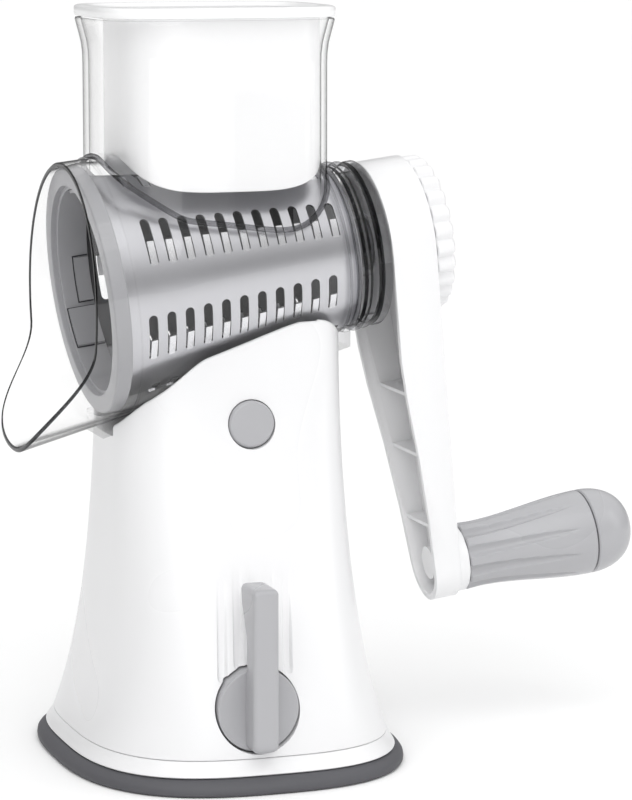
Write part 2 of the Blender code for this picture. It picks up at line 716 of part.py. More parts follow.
def make_clear_barrel(surface, axis):
    """Hopper, barrel and spout in one clear moulding, with its rail and catch hook."""
    start = RING_WIDTH + 0.003
    stations = [start + (BARREL_REAR - start) * i / 10 for i in range(11)]
    outside = [(0, start)] + [(barrel_outside(s), s) for s in stations]
    rear = BARREL_REAR + 0.0022
    ledge = BARREL_FLANGE_R - 0.0018
    outside += [(barrel_outside(rear), rear), (ledge, rear + 0.0012), (ledge, rear + 0.0028)]
    outside += [(BARREL_FLANGE_R, rear + 0.0034), (BARREL_FLANGE_R, BARREL_FLANGE_END), (0, BARREL_FLANGE_END)]
    barrel = add("clear_barrel", turned(outside), surface, axis)
    join_on(barrel, add("hopper_outside", hopper(0, AXIS_START.z + 0.012, HOPPER_TOP), surface))
    rail = prism_along_y(rail_outline(0), -RAIL_HALF_Y, RAIL_HALF_Y)
    join_on(barrel, add("rail", rail, surface, smooth=False))
    hook_low = LATCH_LOW - GAP - 0.0031
    hook = block(
        (CATCH_X - CATCH_HALF_X, -CATCH_HALF_Y, hook_low),
        (CATCH_X + CATCH_HALF_X, CATCH_HALF_Y, rail_underside(CATCH_X) + 0.003),
    )
    join_on(barrel, add("hook", hook, surface, smooth=False))
    barb = block(
        (CATCH_X - CATCH_HALF_X, 0, hook_low),
        (CATCH_X + CATCH_HALF_X, CATCH_HALF_Y + BARB, LATCH_LOW - GAP),
    )
    join_on(barrel, add("barb", barb, surface, smooth=False))
    stations = [start + (BARREL_REAR - start) * i / 10 for i in range(11)]
    bore = [(0, -0.020), (barrel_bore(start), -0.020)]
    bore += [(barrel_bore(s), s) for s in stations] + [(0, BARREL_REAR)]
    cut(barrel, add("barrel_space", turned(bore), surface, axis))
    cut(barrel, add("hopper_space", hopper(CLEAR_WALL, AXIS_START.z + 0.013, HOPPER_TOP + 0.004), surface))
    join_on(barrel, add("spout", spout(start + 0.002), surface))
    boss, seat = BUSH_R + GAP, BUSH_R + GAP + 0.0035
    low, high = BARREL_REAR - 0.002, BARREL_FLANGE_END + 0.002
    bush_hole = [(0, low), (boss, low), (boss, high), (0, high)]
    cut(barrel, add("bush_seat", turned(bush_hole, 32), surface, axis))
    groove_low, groove_r = BARREL_REAR + 0.0026, BARREL_FLANGE_R - 0.0040
    groove = [(seat, groove_low), (groove_r, groove_low), (groove_r, high), (seat, high)]
    cut(barrel, add("rear_groove", turned(groove), surface, axis))
    return barrel


BUSH_R = 0.0090


def make_bush(surface, axis):
    inner = SHAFT_R + SLIDE_FIT
    low, flange = BARREL_REAR, BARREL_FLANGE_END + GAP
    end = flange + 0.0012
    profile = [(inner, low), (BUSH_R, low), (BUSH_R, flange), (BUSH_R + 0.002, flange)]
    profile += [(BUSH_R + 0.002, end), (inner, end)]
    return add("shaft_bush", turned(profile, 32), surface, axis)


# ---------------------------------------------------------------- drum
def make_drum(surface, axis):
    """Sheet cone: 7 rows of 11 slots, each row half a pitch on from the one before."""
    low, high = RING_WIDTH + GAP, DRUM_END
    profile = [(drum_radius(low), low), (drum_radius(high), high)]
    profile += [(drum_radius(high) - DRUM_SHEET, high), (drum_radius(low) - DRUM_SHEET, low)]
    drum = add("drum", turned(profile), surface, axis)
    slots = bmesh.new()
    for row in range(SLOT_ROWS):
        middle = row_angle(row)
        for index in range(SLOTS_PER_ROW):
            along = SLOT_START + index * SLOT_PITCH - (row % 2) * 0.5 * SLOT_PITCH
            add_slot(slots, along, middle)
    cut(drum, add("slots", slots, surface, axis, smooth=False))
    return drum


def row_angle(row):
    """Angle of a row round the axis: 0 is the front, and local X points down."""
    return -pi / 2 - FIRST_ROW_ANGLE + row * 2 * pi / SLOT_ROWS


def add_slot(target, along, middle):
    """One straight-sided slot through the sheet."""
    inner, outer = drum_radius(along) - 3 * DRUM_SHEET, drum_radius(along) + 3 * DRUM_SHEET
    corners = []
    for side in (-0.5, 0.5):
        for radius, angle in ((inner, -0.5), (outer, -0.5), (outer, 0.5), (inner, 0.5)):
            turn = middle + angle * SLOT_ANGLE
            point = (radius * cos(turn), radius * sin(turn), along + side * SLOT_WIDTH)
            corners.append(target.verts.new(point))
    low, high = corners[:4], corners[4:]
    target.faces.new(low)
    target.faces.new(high)
    for i in range(4):
        j = (i + 1) % 4
        target.faces.new((low[i], low[j], high[j], high[i]))


def make_drum_ring(surface, axis):
    """Ring at the drum's open end, its sleeve reaching into the cone."""
    sleeve_end = RING_WIDTH + SLEEVE_LENGTH
    sleeve_r = drum_radius(sleeve_end) - DRUM_SHEET - GAP
    profile = [(RING_BORE, 0.001), (RING_BORE + 0.001, 0), (RING_R - 0.0008, 0), (RING_R, 0.0008)]
    profile += [(RING_R, RING_WIDTH), (sleeve_r, RING_WIDTH)]
    profile += [(sleeve_r, sleeve_end), (RING_BORE, sleeve_end)]
    return add("drum_front_ring", turned(profile), surface, axis)


def make_drum_hub(surface, axis):
    """The drum's back wall, with a hexagonal socket for the drive shaft."""
    inner = drum_radius(DRUM_END - 0.005) - DRUM_SHEET - GAP - 0.0007
    low, seat, end = DRUM_END - 0.005, DRUM_END + GAP, DRUM_END + 0.0018
    socket = 0.0095
    profile = [(0, low - 0.006), (socket, low - 0.006), (socket, low), (inner, low), (inner, seat)]
    profile += [(drum_radius(DRUM_END), seat), (drum_radius(DRUM_END), end), (0, end)]
    hub = add("drum_rear_hub", turned(profile), surface, axis)
    hole = [(0, low - 0.008), (HEX_R + GAP, low - 0.008), (HEX_R + GAP, end + 0.002), (0, end + 0.002)]
    return cut(hub, add("hex_socket", turned(hole, 6), surface, axis, smooth=False))


def make_drive_shaft(surface, axis):
    hex_end = BARREL_REAR - 0.0012
    profile = [(0, DRUM_END - 0.012), (HEX_R, DRUM_END - 0.012), (HEX_R, hex_end), (0, hex_end)]
    shaft = add("drive_shaft", turned(profile, 6), surface, axis, smooth=False)
    low, high = hex_end - 0.0005, CRANK_FACE
    body = [(0, low), (SHAFT_R, low), (SHAFT_R, high), (0, high)]
    join_on(shaft, add("shaft_round", turned(body, 24), surface, axis))
    bore = KNOB_STEM_R + SLIDE_FIT
    low, high = CRANK_FACE - 0.021, CRANK_FACE + 0.01
    hole = [(0, low), (bore, low), (bore, high), (0, high)]
    return cut(shaft, add("knob_stem_bore", turned(hole, SMALL_ROUND), surface, axis))


# ---------------------------------------------------------------- crank
def arm_outline(shrink, low, high):
    """Teardrop round the hub and the grip's end, extruded along the axis."""
    lean = (CRANK_HUB_R - CRANK_END_R) / CRANK_LENGTH
    tangent = pi / 2 - lean
    steps = 18
    points = []
    for i in range(steps + 1):
        angle = tangent + (2 * pi - 2 * tangent) * i / steps
        radius = CRANK_HUB_R - shrink
        points.append((radius * cos(angle), radius * sin(angle)))
    for i in range(9):
        angle = -tangent + 2 * tangent * i / 8
        radius = CRANK_END_R - shrink
        points.append((CRANK_LENGTH + radius * cos(angle), radius * sin(angle)))
    return lofted([[(x, y, z) for x, y in points] for z in (low, high)])


ARM_LOW = BARREL_FLANGE_END + 0.0006
ARM_EDGE = [(-0.05, 0.0), (0.044, 0.0), (0.060, 0.0012), (0.083, 0.0040), (0.110, 0.0062), (0.160, 0.0086)]


def make_crank(surface, axis):
    """Crank arm: a channel that opens towards the barrel, with three ribs across it."""
    crank = add("crank_arm", arm_outline(0, ARM_LOW, CRANK_FACE), surface, axis)
    web = CRANK_FACE - CRANK_WALL
    cut(crank, add("arm_channel", arm_outline(CRANK_WALL, ARM_LOW - 0.01, web), surface, axis))
    for index, (down, height) in enumerate(((0.0595, 0.0045), (0.0835, 0.0040), (0.1120, 0.0035))):
        half = CRANK_HUB_R - (CRANK_HUB_R - CRANK_END_R) * down / CRANK_LENGTH - 0.5 * CRANK_WALL
        rib = block((down, -half, web - 2 * height), (down + 0.0014, half, web + 0.001))
        join_on(crank, add(f"arm_rib_{index}", rib, surface, axis, smooth=False))
    boss = [(0, ARM_LOW + 0.003), (0.0095, ARM_LOW + 0.003), (0.0095, web + 0.001), (0, web + 0.001)]
    join_on(crank, add("shaft_boss", turned(boss, 32), surface, axis))
    low = web + 0.5 * CRANK_WALL
    collar = [(0, low), (GRIP_ROOT_R, low), (GRIP_ROOT_R, CRANK_FACE + COLLAR_LENGTH)]
    collar += [(0, CRANK_FACE + COLLAR_LENGTH)]
    join_on(crank, at_grip(add("grip_collar", turned(collar, 32), surface, axis)))
    boss = [(0, web - 0.0055), (0.0065, web - 0.0055), (0.0065, web + 0.001), (0, web + 0.001)]
    join_on(crank, at_grip(add("spindle_boss", turned(boss, 24), surface, axis)))
    edge = [(x, ARM_LOW + rise) for x, rise in ARM_EDGE] + [(0.16, ARM_LOW - 0.02), (-0.05, ARM_LOW - 0.02)]
    cut(crank, add("arm_edge", prism_along_y(edge, -0.05, 0.05), surface, axis, smooth=False))
    bore = SHAFT_R + GAP
    hole = [(0, ARM_LOW - 0.01), (bore, ARM_LOW - 0.01), (bore, CRANK_FACE + 0.01), (0, CRANK_FACE + 0.01)]
    cut(crank, add("crank_bore", turned(hole, 24), surface, axis))
    bore = SPINDLE_R + GAP
    hole = [(0, web - 0.004), (bore, web - 0.004), (bore, CRANK_FACE + 0.01), (0, CRANK_FACE + 0.01)]
    cut(crank, at_grip(add("spindle_bore", turned(hole, SMALL_ROUND), surface, axis)))
    return crank


def at_grip(made):
    """Moves a piece of the crank's frame down to the grip's own axis."""
    made.location.x += CRANK_LENGTH
    return made


def make_lock_knob(surface, axis):
    """Ribbed knob outside the hub, its stem running into the drive shaft."""
    low = CRANK_FACE + GAP
    high = low + KNOB_LENGTH
    stem_end = CRANK_FACE - 0.020
    made = bmesh.new()
    count = KNOB_RIBS * 4
    rows = []
    for height, grow in ((low, 0), (high - 0.0018, 0), (high, -0.0018)):
        ring = []
        for i in range(count):
            angle = 2 * pi * i / count
            dip = 0.0009 if i % 4 in (0, 1) else 0.0
            radius = KNOB_R + grow - dip
            ring.append(made.verts.new((radius * cos(angle), radius * sin(angle), height)))
        rows.append(ring)
    for below, above in zip(rows, rows[1:]):
        for i in range(count):
            j = (i + 1) % count
            made.faces.new((below[i], below[j], above[j], above[i]))
    made.faces.new(rows[0])
    made.faces.new(rows[-1])
    knob = add("lock_knob", made, surface, axis)
    stem = [(0, stem_end), (KNOB_STEM_R, stem_end), (KNOB_STEM_R, low + 0.002), (0, low + 0.002)]
    return join_on(knob, add("knob_stem", turned(stem, SMALL_ROUND), surface, axis))


# ---------------------------------------------------------------- grip
GRIP_LOW = CRANK_FACE + COLLAR_LENGTH + SLIDE_FIT
GRIP_HIGH = GRIP_LOW + GRIP_LENGTH
SPINDLE_LOW = CRANK_FACE - CRANK_WALL - 0.0035
SPINDLE_END = GRIP_HIGH + 0.0005
WASHER_LOW = SPINDLE_END + GAP
SCREW_LOW = WASHER_LOW + 0.0012 + GAP


def grip_radius(share):
    """Waisted near the collar, swelling to the cap."""
    waist = GRIP_ROOT_R - (GRIP_ROOT_R - GRIP_WAIST_R) * min(share / 0.12, 1)
    swell = max((share - 0.12) / 0.88, 0.0)
    return waist + (GRIP_CAP_R - GRIP_WAIST_R) * swell * swell * (3 - 2 * swell)


def make_grip(surface, grip):
    bore = SPINDLE_R + SLIDE_FIT
    profile = [(bore, GRIP_LOW)]
    profile += [(grip_radius(i / 9), GRIP_LOW + GRIP_LENGTH * i / 9) for i in range(10)]
    profile += [(bore, GRIP_HIGH)]
    return add("handle_grip", turned(profile, 36), surface, grip)


def make_cap(surface, grip):
    """Domed cap with a pocket for the screw's head."""
    low = GRIP_HIGH + GAP
    pocket = 0.0075
    profile = [(pocket, low), (GRIP_CAP_R, low)]
    for i in range(1, 8):
        angle = i * pi / 16
        profile.append((GRIP_CAP_R * cos(angle) ** 0.8, low + CAP_LENGTH * sin(angle)))
    profile += [(0, low + CAP_LENGTH), (0, SCREW_LOW + 0.0045), (pocket, SCREW_LOW + 0.0045)]
    return add("grip_end_cap", turned(profile, 36), surface, grip)


def make_spindle(surface, grip):
    bore = 0.0016 + GAP
    depth = SPINDLE_END - 0.014
    profile = [(0, SPINDLE_LOW), (SPINDLE_R, SPINDLE_LOW), (SPINDLE_R, SPINDLE_END)]
    profile += [(bore, SPINDLE_END), (bore, depth), (0, depth)]
    return add("handle_spindle", turned(profile, SMALL_ROUND), surface, grip)


def make_washer(surface, grip):
    inner, outer = 0.0016 + GAP, 0.0062
    low, high = WASHER_LOW, WASHER_LOW + 0.0012
    profile = [(inner, low), (outer, low), (outer, high), (inner, high)]
    return add("handle_washer", turned(profile, 20), surface, grip)


def make_handle_screw(surface, grip):
    shank, head = 0.0016, 0.0042
    tip = SPINDLE_END - 0.012
    profile = [(0, tip), (shank, tip), (shank, SCREW_LOW), (head, SCREW_LOW), (head, SCREW_LOW + 0.0022)]
    profile += [(0, SCREW_LOW + 0.0030)]
    return add("handle_screw", turned(profile, 16), surface, grip)


# ---------------------------------------------------------------- pusher
def pusher_body(shrink, low, high):
    half_x, half_y = PUSHER_HALF_X - shrink, PUSHER_HALF_Y - shrink
    return lofted([rounded_loop(half_x, half_y, HOPPER_POWER, z, PUSHER_CENTRE_X) for z in (low, high)])


def saddle_cutter(radius, name, surface):
    """A cylinder along X, level with the drum's axis under the hopper."""
    made = add(name, turned([(0, -0.07), (radius, -0.07), (radius, 0.07), (0, 0.07)], 96), surface)
    made.location = (0, 0, PUSHER_SADDLE_Z)
    made.rotation_euler = (0, pi / 2, 0)
    return made


PUSHER_SADDLE_Z = 0.1850


def make_pusher(surface, parent):
    """Cup that is open at the top, with a rim flange and a bottom curved over the drum."""
    low, rim = PUSHER_SADDLE_Z + 0.010, FLANGE_LOW
    pusher = add("pusher", pusher_body(0, low, rim + 0.001), surface)
    half_x, half_y = HOPPER_HALF_X + FLANGE_OVERHANG, HOPPER_HALF_Y + FLANGE_OVERHANG
    centre = HOPPER_CENTRE_X
    loops = [rounded_loop(half_x, half_y, HOPPER_POWER, z, centre) for z in (rim, TOTAL_HEIGHT)]
    join_on(pusher, add("flange", lofted(loops), surface, smooth=False))
    cut(pusher, saddle_cutter(PUSHER_SADDLE_R, "saddle_outside", surface))
    inside = add("pusher_space", pusher_body(PUSHER_WALL, low, TOTAL_HEIGHT + 0.01), surface)
    cut(inside, saddle_cutter(PUSHER_SADDLE_R + PUSHER_WALL, "saddle_inside", surface))
    cut(pusher, inside)
    return under(pusher, parent)


def main():
    clear_scene()
    white = material("white_plastic", WHITE, 0.25)
    grey = material("grey_plastic", GREY, 0.35)
    rubber = material("rubber", RUBBER, 0.7)
    steel = material("steel", STEEL, 0.25, metallic=1.0)
    clear = material("clear_plastic", CLEAR, 0.05, alpha=0.35)

    axis = empty("drum_axis", AXIS_START, (0, pi / 2 - AXIS_TILT, 0))
    grip = empty("grip_axis", (CRANK_LENGTH, 0, 0), parent=axis)
    lever = empty("suction_axis", (LEVER_X, 0, LEVER_Z))
    button = empty("button_axis", (BUTTON_X, -BUTTON_FACE, BUTTON_Z))
    lift = empty("stem_axis", (0, 0, 0))
    push = empty("pusher_axis", (HOPPER_CENTRE_X, 0, FLANGE_LOW))

    make_foot(rubber)
    make_trim(white)
    make_plate(grey)
    make_screws(steel)
    make_stem(steel, lift)
    make_cam_shaft(steel, lever)
    make_shaft_clip(steel, lever)
    make_suction_lever(grey, lever)
    make_shell(white, axis)
    make_button(grey, button)
    make_latch(white, button)
    make_button_spring(steel)
    make_clear_barrel(clear, axis)
    make_bush(grey, axis)
    make_drum(steel, axis)
    make_drum_ring(grey, axis)
    make_drum_hub(grey, axis)
    make_drive_shaft(steel, axis)
    make_crank(white, axis)
    make_lock_knob(white, axis)
    make_grip(grey, grip)
    make_cap(grey, grip)
    make_spindle(steel, grip)
    make_washer(steel, grip)
    make_handle_screw(steel, grip)
    make_pusher(white, push)


main()
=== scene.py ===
"""Looks of the rotary cheese grater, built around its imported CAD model.

Lengths are millimetres and become metres where a mesh is made. The camera and the
lights are placed in metres.
"""

import json
from math import cos, exp, pi, radians, sin

import bmesh
import bpy
import numpy as np
from mathutils import Euler, Matrix, Vector


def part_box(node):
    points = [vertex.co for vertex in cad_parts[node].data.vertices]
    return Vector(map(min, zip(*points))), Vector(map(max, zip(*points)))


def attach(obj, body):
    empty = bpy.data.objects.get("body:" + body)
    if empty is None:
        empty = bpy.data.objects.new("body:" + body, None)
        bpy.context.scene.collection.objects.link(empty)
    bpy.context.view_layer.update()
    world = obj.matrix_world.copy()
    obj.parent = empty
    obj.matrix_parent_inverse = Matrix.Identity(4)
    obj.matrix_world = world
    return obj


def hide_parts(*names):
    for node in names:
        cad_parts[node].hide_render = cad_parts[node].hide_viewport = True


MM = 0.001

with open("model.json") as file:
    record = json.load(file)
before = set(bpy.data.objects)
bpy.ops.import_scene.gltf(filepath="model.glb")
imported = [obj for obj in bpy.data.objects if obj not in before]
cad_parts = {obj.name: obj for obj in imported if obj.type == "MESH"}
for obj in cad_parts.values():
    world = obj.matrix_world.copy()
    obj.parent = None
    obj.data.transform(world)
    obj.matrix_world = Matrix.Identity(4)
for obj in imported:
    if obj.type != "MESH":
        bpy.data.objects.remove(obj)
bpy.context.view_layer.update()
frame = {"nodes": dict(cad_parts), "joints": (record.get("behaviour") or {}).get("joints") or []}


# ------------------------------------------------------------ places taken from the frame
def joint(name):
    return next(j for j in frame["joints"] if j["name"] == name)


def box_mm(node):
    low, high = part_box(node)
    return np.array(low) / MM, np.array(high) / MM


AXIS = Vector(joint("crank_turn")["axis"]).normalized()
AXIS_UP = Vector((-AXIS.z, 0, AXIS.x))
SIDE = Vector((0, 1, 0))
CRANK_JOINT_ALONG = 109.0
AXIS_START = Vector(joint("crank_turn")["pos_m"]) / MM - CRANK_JOINT_ALONG * AXIS
GRIP_JOINT = Vector(joint("grip_spin")["pos_m"]) / MM
GRIP_REACH = -(GRIP_JOINT - AXIS_START).dot(AXIS_UP)
LEVER_PIVOT = Vector(joint("suction_lever_turn")["pos_m"]) / MM
BUTTON_PIVOT = Vector(joint("button_press")["pos_m"]) / MM

BODY_LOW = box_mm("body_shell")[0][2]
SEAM_Z = box_mm("trim_skirt")[1][2] - 1.0
FLANGE_TOP = box_mm("pusher")[1][2]
BUTTON_FACE_Y = box_mm("release_button")[0][1]
LEVER_FRONT_Y = box_mm("suction_lever")[0][1]
LEVER_TOP = box_mm("suction_lever")[1][2]

# the drum's own frame: local Z along the axis, local X down, local Y the same as the world's
DRUM_FRAME = Matrix.Translation(AXIS_START) @ Matrix((-AXIS_UP, SIDE, AXIS)).transposed().to_4x4()
GRIP_FRAME = DRUM_FRAME @ Matrix.Translation((GRIP_REACH, 0, 0))
FRONT_TURN = Matrix.Rotation(pi / 2, 4, "X")

# ------------------------------------------------------------ driving sizes
DRUM_R = 43.5
DRUM_TAPER = 0.132
DRUM_SHEET = 1.0
DRUM_SPAN = (6.3, 100.0)
RING_R = 46.6
RING_BORE = 38.3
RING_WIDTH = 6.0
RING_SLEEVE = 8.0
SLOT_ROWS = 7
SLOTS_PER_ROW = 11
SLOT_START = 19.4
SLOT_PITCH = 7.36
SLOT_WIDTH = 3.6
SLOT_ARC = radians(26)
FIRST_ROW = radians(28.3)
TOOTH_RISE = 0.75
TOOTH_SIDE_GAP = 0.55
TOOTH_THICKNESS = 0.9
LUG_SETS = 3

CLEAR_WALL = 2.0
CLEAR_POINTS = 144
BARREL_START = RING_WIDTH + 3
BARREL_REAR = 104.0
FLANGE_R = 31.9
FLANGE_END = 113.7
RIDGE_CRESTS = (97.0, 100.6, 104.2, 107.8)
RIDGE_BAND = 3.0
GROOVE_BORE = 12.8
BUSH_SEAT_R = 9.3
HOPPER = (43.3, 34.5)
HOPPER_X = -4.2
HOPPER_POWER = 4.0
HOPPER_TOP = FLANGE_TOP - 4.7
HOPPER_FLARE = 2.6
SPOUT_X = -60.5
SPOUT_Z = 176.3
SPOUT_R = 50.8
SPOUT_DROP = 57.0
SPOUT_LIP = 19.3
BEAD_R = 1.1
RAIL_HALF_Y = 12.0
RAIL_DEPTH = 4.0
RAIL_ENDS = (-48.0, 50.0)
RAIL_FIT = 0.4
HOOK_X = (-0.8, 7.2)
HOOK_MIDDLE = 3.2
HOOK_LOW = 126.6

BODY_BASE = (59.2, 71.2)
BODY_TOP = (44.0, 31.0)
BODY_TOP_Z = 167.5
SHOULDER_R = 12.0
BODY_WALL = 2.4
TOP_EDGE = 1.3
SEAM_DEPTH = 1.1
SADDLE_FIT = 0.4
WEB_REACH = 18.2
WEB_Y = (-59.8, -57.4)
BASE_POWER = 2.9
FOOT_POWER = 2.7

BUTTON_R = 8.9
BUTTON_DEPTH = 6.8
BUTTON_BORE_R = 9.25
LEVER_DISC_R = 15.5
LEVER_FACE = 69.0
LEVER_BACK = 60.0
LEVER_BAR_HALF = 4.9
LEVER_BORE_R = 3.1
DISC_BORE_R = 16.2
CAM_BORE_R = 3.2

PUSHER = (38.2, 31.0)
PUSHER_X = -1.6
PUSHER_SADDLE_Z = 185.0
PUSHER_SADDLE_R = 44.0
PUSHER_OVERHANG = 2.8

CRANK_HUB_R = 31.0
CRANK_END_R = 14.5
CRANK_LOW = 114.3
CRANK_FACE = 131.7
CRANK_WALL = 2.5
CRANK_RIBS = ((59.5, 9.0), (83.5, 8.0), (112.0, 7.0))
CRANK_RIB_WIDTH = 1.4
CRANK_BOSS_R = 9.5
SHAFT_BORE_R = 6.3
SPINDLE_BOSS_R = 6.5
SPINDLE_BORE_R = 3.8
COLLAR = (13.2, 136.6)
ARM_EDGE = ((-50, 0.0), (44, 0.0), (60, 1.2), (83, 4.0), (110, 6.2), (160, 8.6))
KNOB_R = 30.1
KNOB_SPAN = (132.0, 140.4)
KNOB_RIBS = 26
KNOB_RIB_DEPTH = 1.9

GRIP_SPAN = (137.0, 189.6)
GRIP_CAP_END = 208.5
GRIP_BORE_R = 3.9
GRIP_WAIST = 12.9
GRIP_ROOT = 13.2
GRIP_END_R = 16.8
GRIP_FLUTES = 10
GRIP_FLUTE_DEPTH = 1.8
GRIP_FLUTE_END = 0.86
CAP_POCKET = (7.5, 197.8)

# ------------------------------------------------------------ mesh helpers
SMOOTH_ANGLE = 32
SQUIRCLE_SAMPLES = 2049


def make(name, points, faces, matrix=None, smooth=SMOOTH_ANGLE):
    """One mesh object from points in millimetres, placed in the row frame, in metres."""
    mesh = bpy.data.meshes.new(name)
    mesh.from_pydata([tuple(p) for p in points], [], faces)
    if matrix is not None:
        mesh.transform(matrix)
    mesh.transform(Matrix.Scale(MM, 4))
    made = bpy.data.objects.new(name, mesh)
    bpy.context.scene.collection.objects.link(made)
    return shade(made, smooth)


def shade(made, smooth=SMOOTH_ANGLE):
    made.data.shade_smooth()
    made.data.set_sharp_from_angle(angle=radians(smooth))
    return made


def face_out(made):
    """Turns a closed mesh's faces outward."""
    mesh = bmesh.new()
    mesh.from_mesh(made.data)
    bmesh.ops.recalc_face_normals(mesh, faces=mesh.faces)
    mesh.to_mesh(made.data)
    mesh.free()
    return made


def loft(name, loops, closed=False, matrix=None, smooth=SMOOTH_ANGLE):
    """Joins equal loops; an open run is closed with a face at each end."""
    count = len(loops[0])
    points = [p for loop in loops for p in loop]
    faces = []
    rows = len(loops)
    for r in range(rows if closed else rows - 1):
        low, high = r * count, ((r + 1) % rows) * count
        for i in range(count):
            j = (i + 1) % count
            faces.append((low + i, low + j, high + j, high + i))
    if not closed:
        faces.append(tuple(range(count))[::-1])
        faces.append(tuple((rows - 1) * count + i for i in range(count)))
    return face_out(make(name, points, faces, matrix, smooth))


def rounded(corners, steps=4):
    """Fillets an outline: each corner is (a, b) or (a, b, radius)."""
    out = []
    count = len(corners)
    for i, corner in enumerate(corners):
        here = Vector(corner[:2])
        radius = corner[2] if len(corner) > 2 else 0
        if not radius:
            out.append(tuple(here))
            continue
        back = Vector(corners[i - 1][:2]) - here
        ahead = Vector(corners[(i + 1) % count][:2]) - here
        reach = min(radius, 0.48 * back.length, 0.48 * ahead.length)
        start, end = here + back.normalized() * reach, here + ahead.normalized() * reach
        for k in range(steps + 1):
            t = k / steps
            out.append(tuple((1 - t) ** 2 * start + 2 * t * (1 - t) * here + t * t * end))
    return out


def turn(name, profile, matrix, segments, shift=None):
    """Turns an outline of (radius, height) about local Z.

    Points on the axis only say that the outline is open, with a face at each end.
    shift(radius, height, angle) gives a point's own radius.
    """
    angles = [2 * pi * i / segments for i in range(segments)]
    outline = [p for p in profile if p[0] > 1e-6]
    loops = []
    for radius, height in outline:
        loop = []
        for a in angles:
            r = shift(radius, height, a) if shift else radius
            loop.append((r * cos(a), r * sin(a), height))
        loops.append(loop)
    return loft(name, loops, closed=len(outline) == len(profile), matrix=matrix)


def rod(name, radius, low, high, matrix, segments):
    """A round bar along local Z."""
    return turn(name, [(0, low), (radius, low), (radius, high), (0, high)], matrix, segments)


def squircle(half_x, half_y, power, z, centre_x=0.0, count=160):
    """A rounded rectangle as a superellipse, with its points spread evenly along the outline."""
    dense = np.linspace(0, 2 * pi, SQUIRCLE_SAMPLES)
    x = half_x * np.sign(np.cos(dense)) * np.abs(np.cos(dense)) ** (2 / power)
    y = half_y * np.sign(np.sin(dense)) * np.abs(np.sin(dense)) ** (2 / power)
    run = np.concatenate(([0], np.cumsum(np.hypot(np.diff(x), np.diff(y)))))
    at = np.arange(count) * run[-1] / count
    return [(centre_x + a, b, z) for a, b in zip(np.interp(at, run, x), np.interp(at, run, y))]


def extrude(name, outline, low, high, along, matrix=None):
    """A prism of an outline: along Y its points are (x, z), along Z they are (x, y)."""
    if along == "Y":
        loops = [[(a, depth, b) for a, b in outline] for depth in (low, high)]
    else:
        loops = [[(a, b, depth) for a, b in outline] for depth in (low, high)]
    return loft(name, loops, matrix=matrix)


def block(name, low, high, matrix=None):
    corners = [(low[0], low[1]), (high[0], low[1]), (high[0], high[1]), (low[0], high[1])]
    return extrude(name, corners, low[2], high[2], "Z", matrix)


def add_bar(points, faces, sections):
    """Adds a bar that runs through four-cornered sections and is closed at both ends."""
    first = len(points)
    for section in sections:
        points.extend(section)
    for i in range(len(sections) - 1):
        a, b = first + 4 * i, first + 4 * (i + 1)
        for p, q in ((0, 1), (1, 3), (3, 2), (2, 0)):
            faces.append((a + p, a + q, b + q, b + p))
    last = first + 4 * (len(sections) - 1)
    faces.append((first, first + 1, first + 3, first + 2))
    faces.append((last, last + 1, last + 3, last + 2))


def settle(made):
    """Turns an object's modifiers into its mesh."""
    depsgraph = bpy.context.evaluated_depsgraph_get()
    made.data = bpy.data.meshes.new_from_object(made.evaluated_get(depsgraph))
    made.modifiers.clear()
    return made


def combine(target, tool, operation="DIFFERENCE", solver="EXACT"):
    step = target.modifiers.new("join", "BOOLEAN")
    step.operation = operation
    step.solver = solver
    step.object = tool
    settle(target)
    bpy.data.objects.remove(tool, do_unlink=True)
    return shade(target)


def bevel(made, width, segments, angle):
    """Rounds the edges that turn by more than the angle."""
    step = made.modifiers.new("edges", "BEVEL")
    step.width = width * MM
    step.segments = segments
    step.limit_method = "ANGLE"
    step.angle_limit = radians(angle)
    step.harden_normals = True
    settle(made)
    made.data.shade_smooth()
    return made


def smoothstep(t):
    t = min(max(t, 0.0), 1.0)
    return t * t * (3 - 2 * t)


def last_within(low, high, within, steps):
    """The highest value that still passes within(value), found by halving."""
    for _ in range(steps):
        middle = 0.5 * (low + high)
        if within(middle):
            low = middle
        else:
            high = middle
    return low


def facing_front(pivot, y=0.0):
    """A frame whose local Z looks out of the tower's front."""
    return Matrix.Translation((pivot.x, y, pivot.z)) @ FRONT_TURN


# ------------------------------------------------------------ materials
def map_range(tree, source, limits, interpolation="LINEAR"):
    """Maps a value: limits are its lowest and highest, then what these become."""
    node = tree.nodes.new("ShaderNodeMapRange")
    node.interpolation_type = interpolation
    for key, value in zip(("From Min", "From Max", "To Min", "To Max"), limits):
        node.inputs[key].default_value = value
    tree.links.new(source, node.inputs["Value"])
    return node.outputs["Result"]


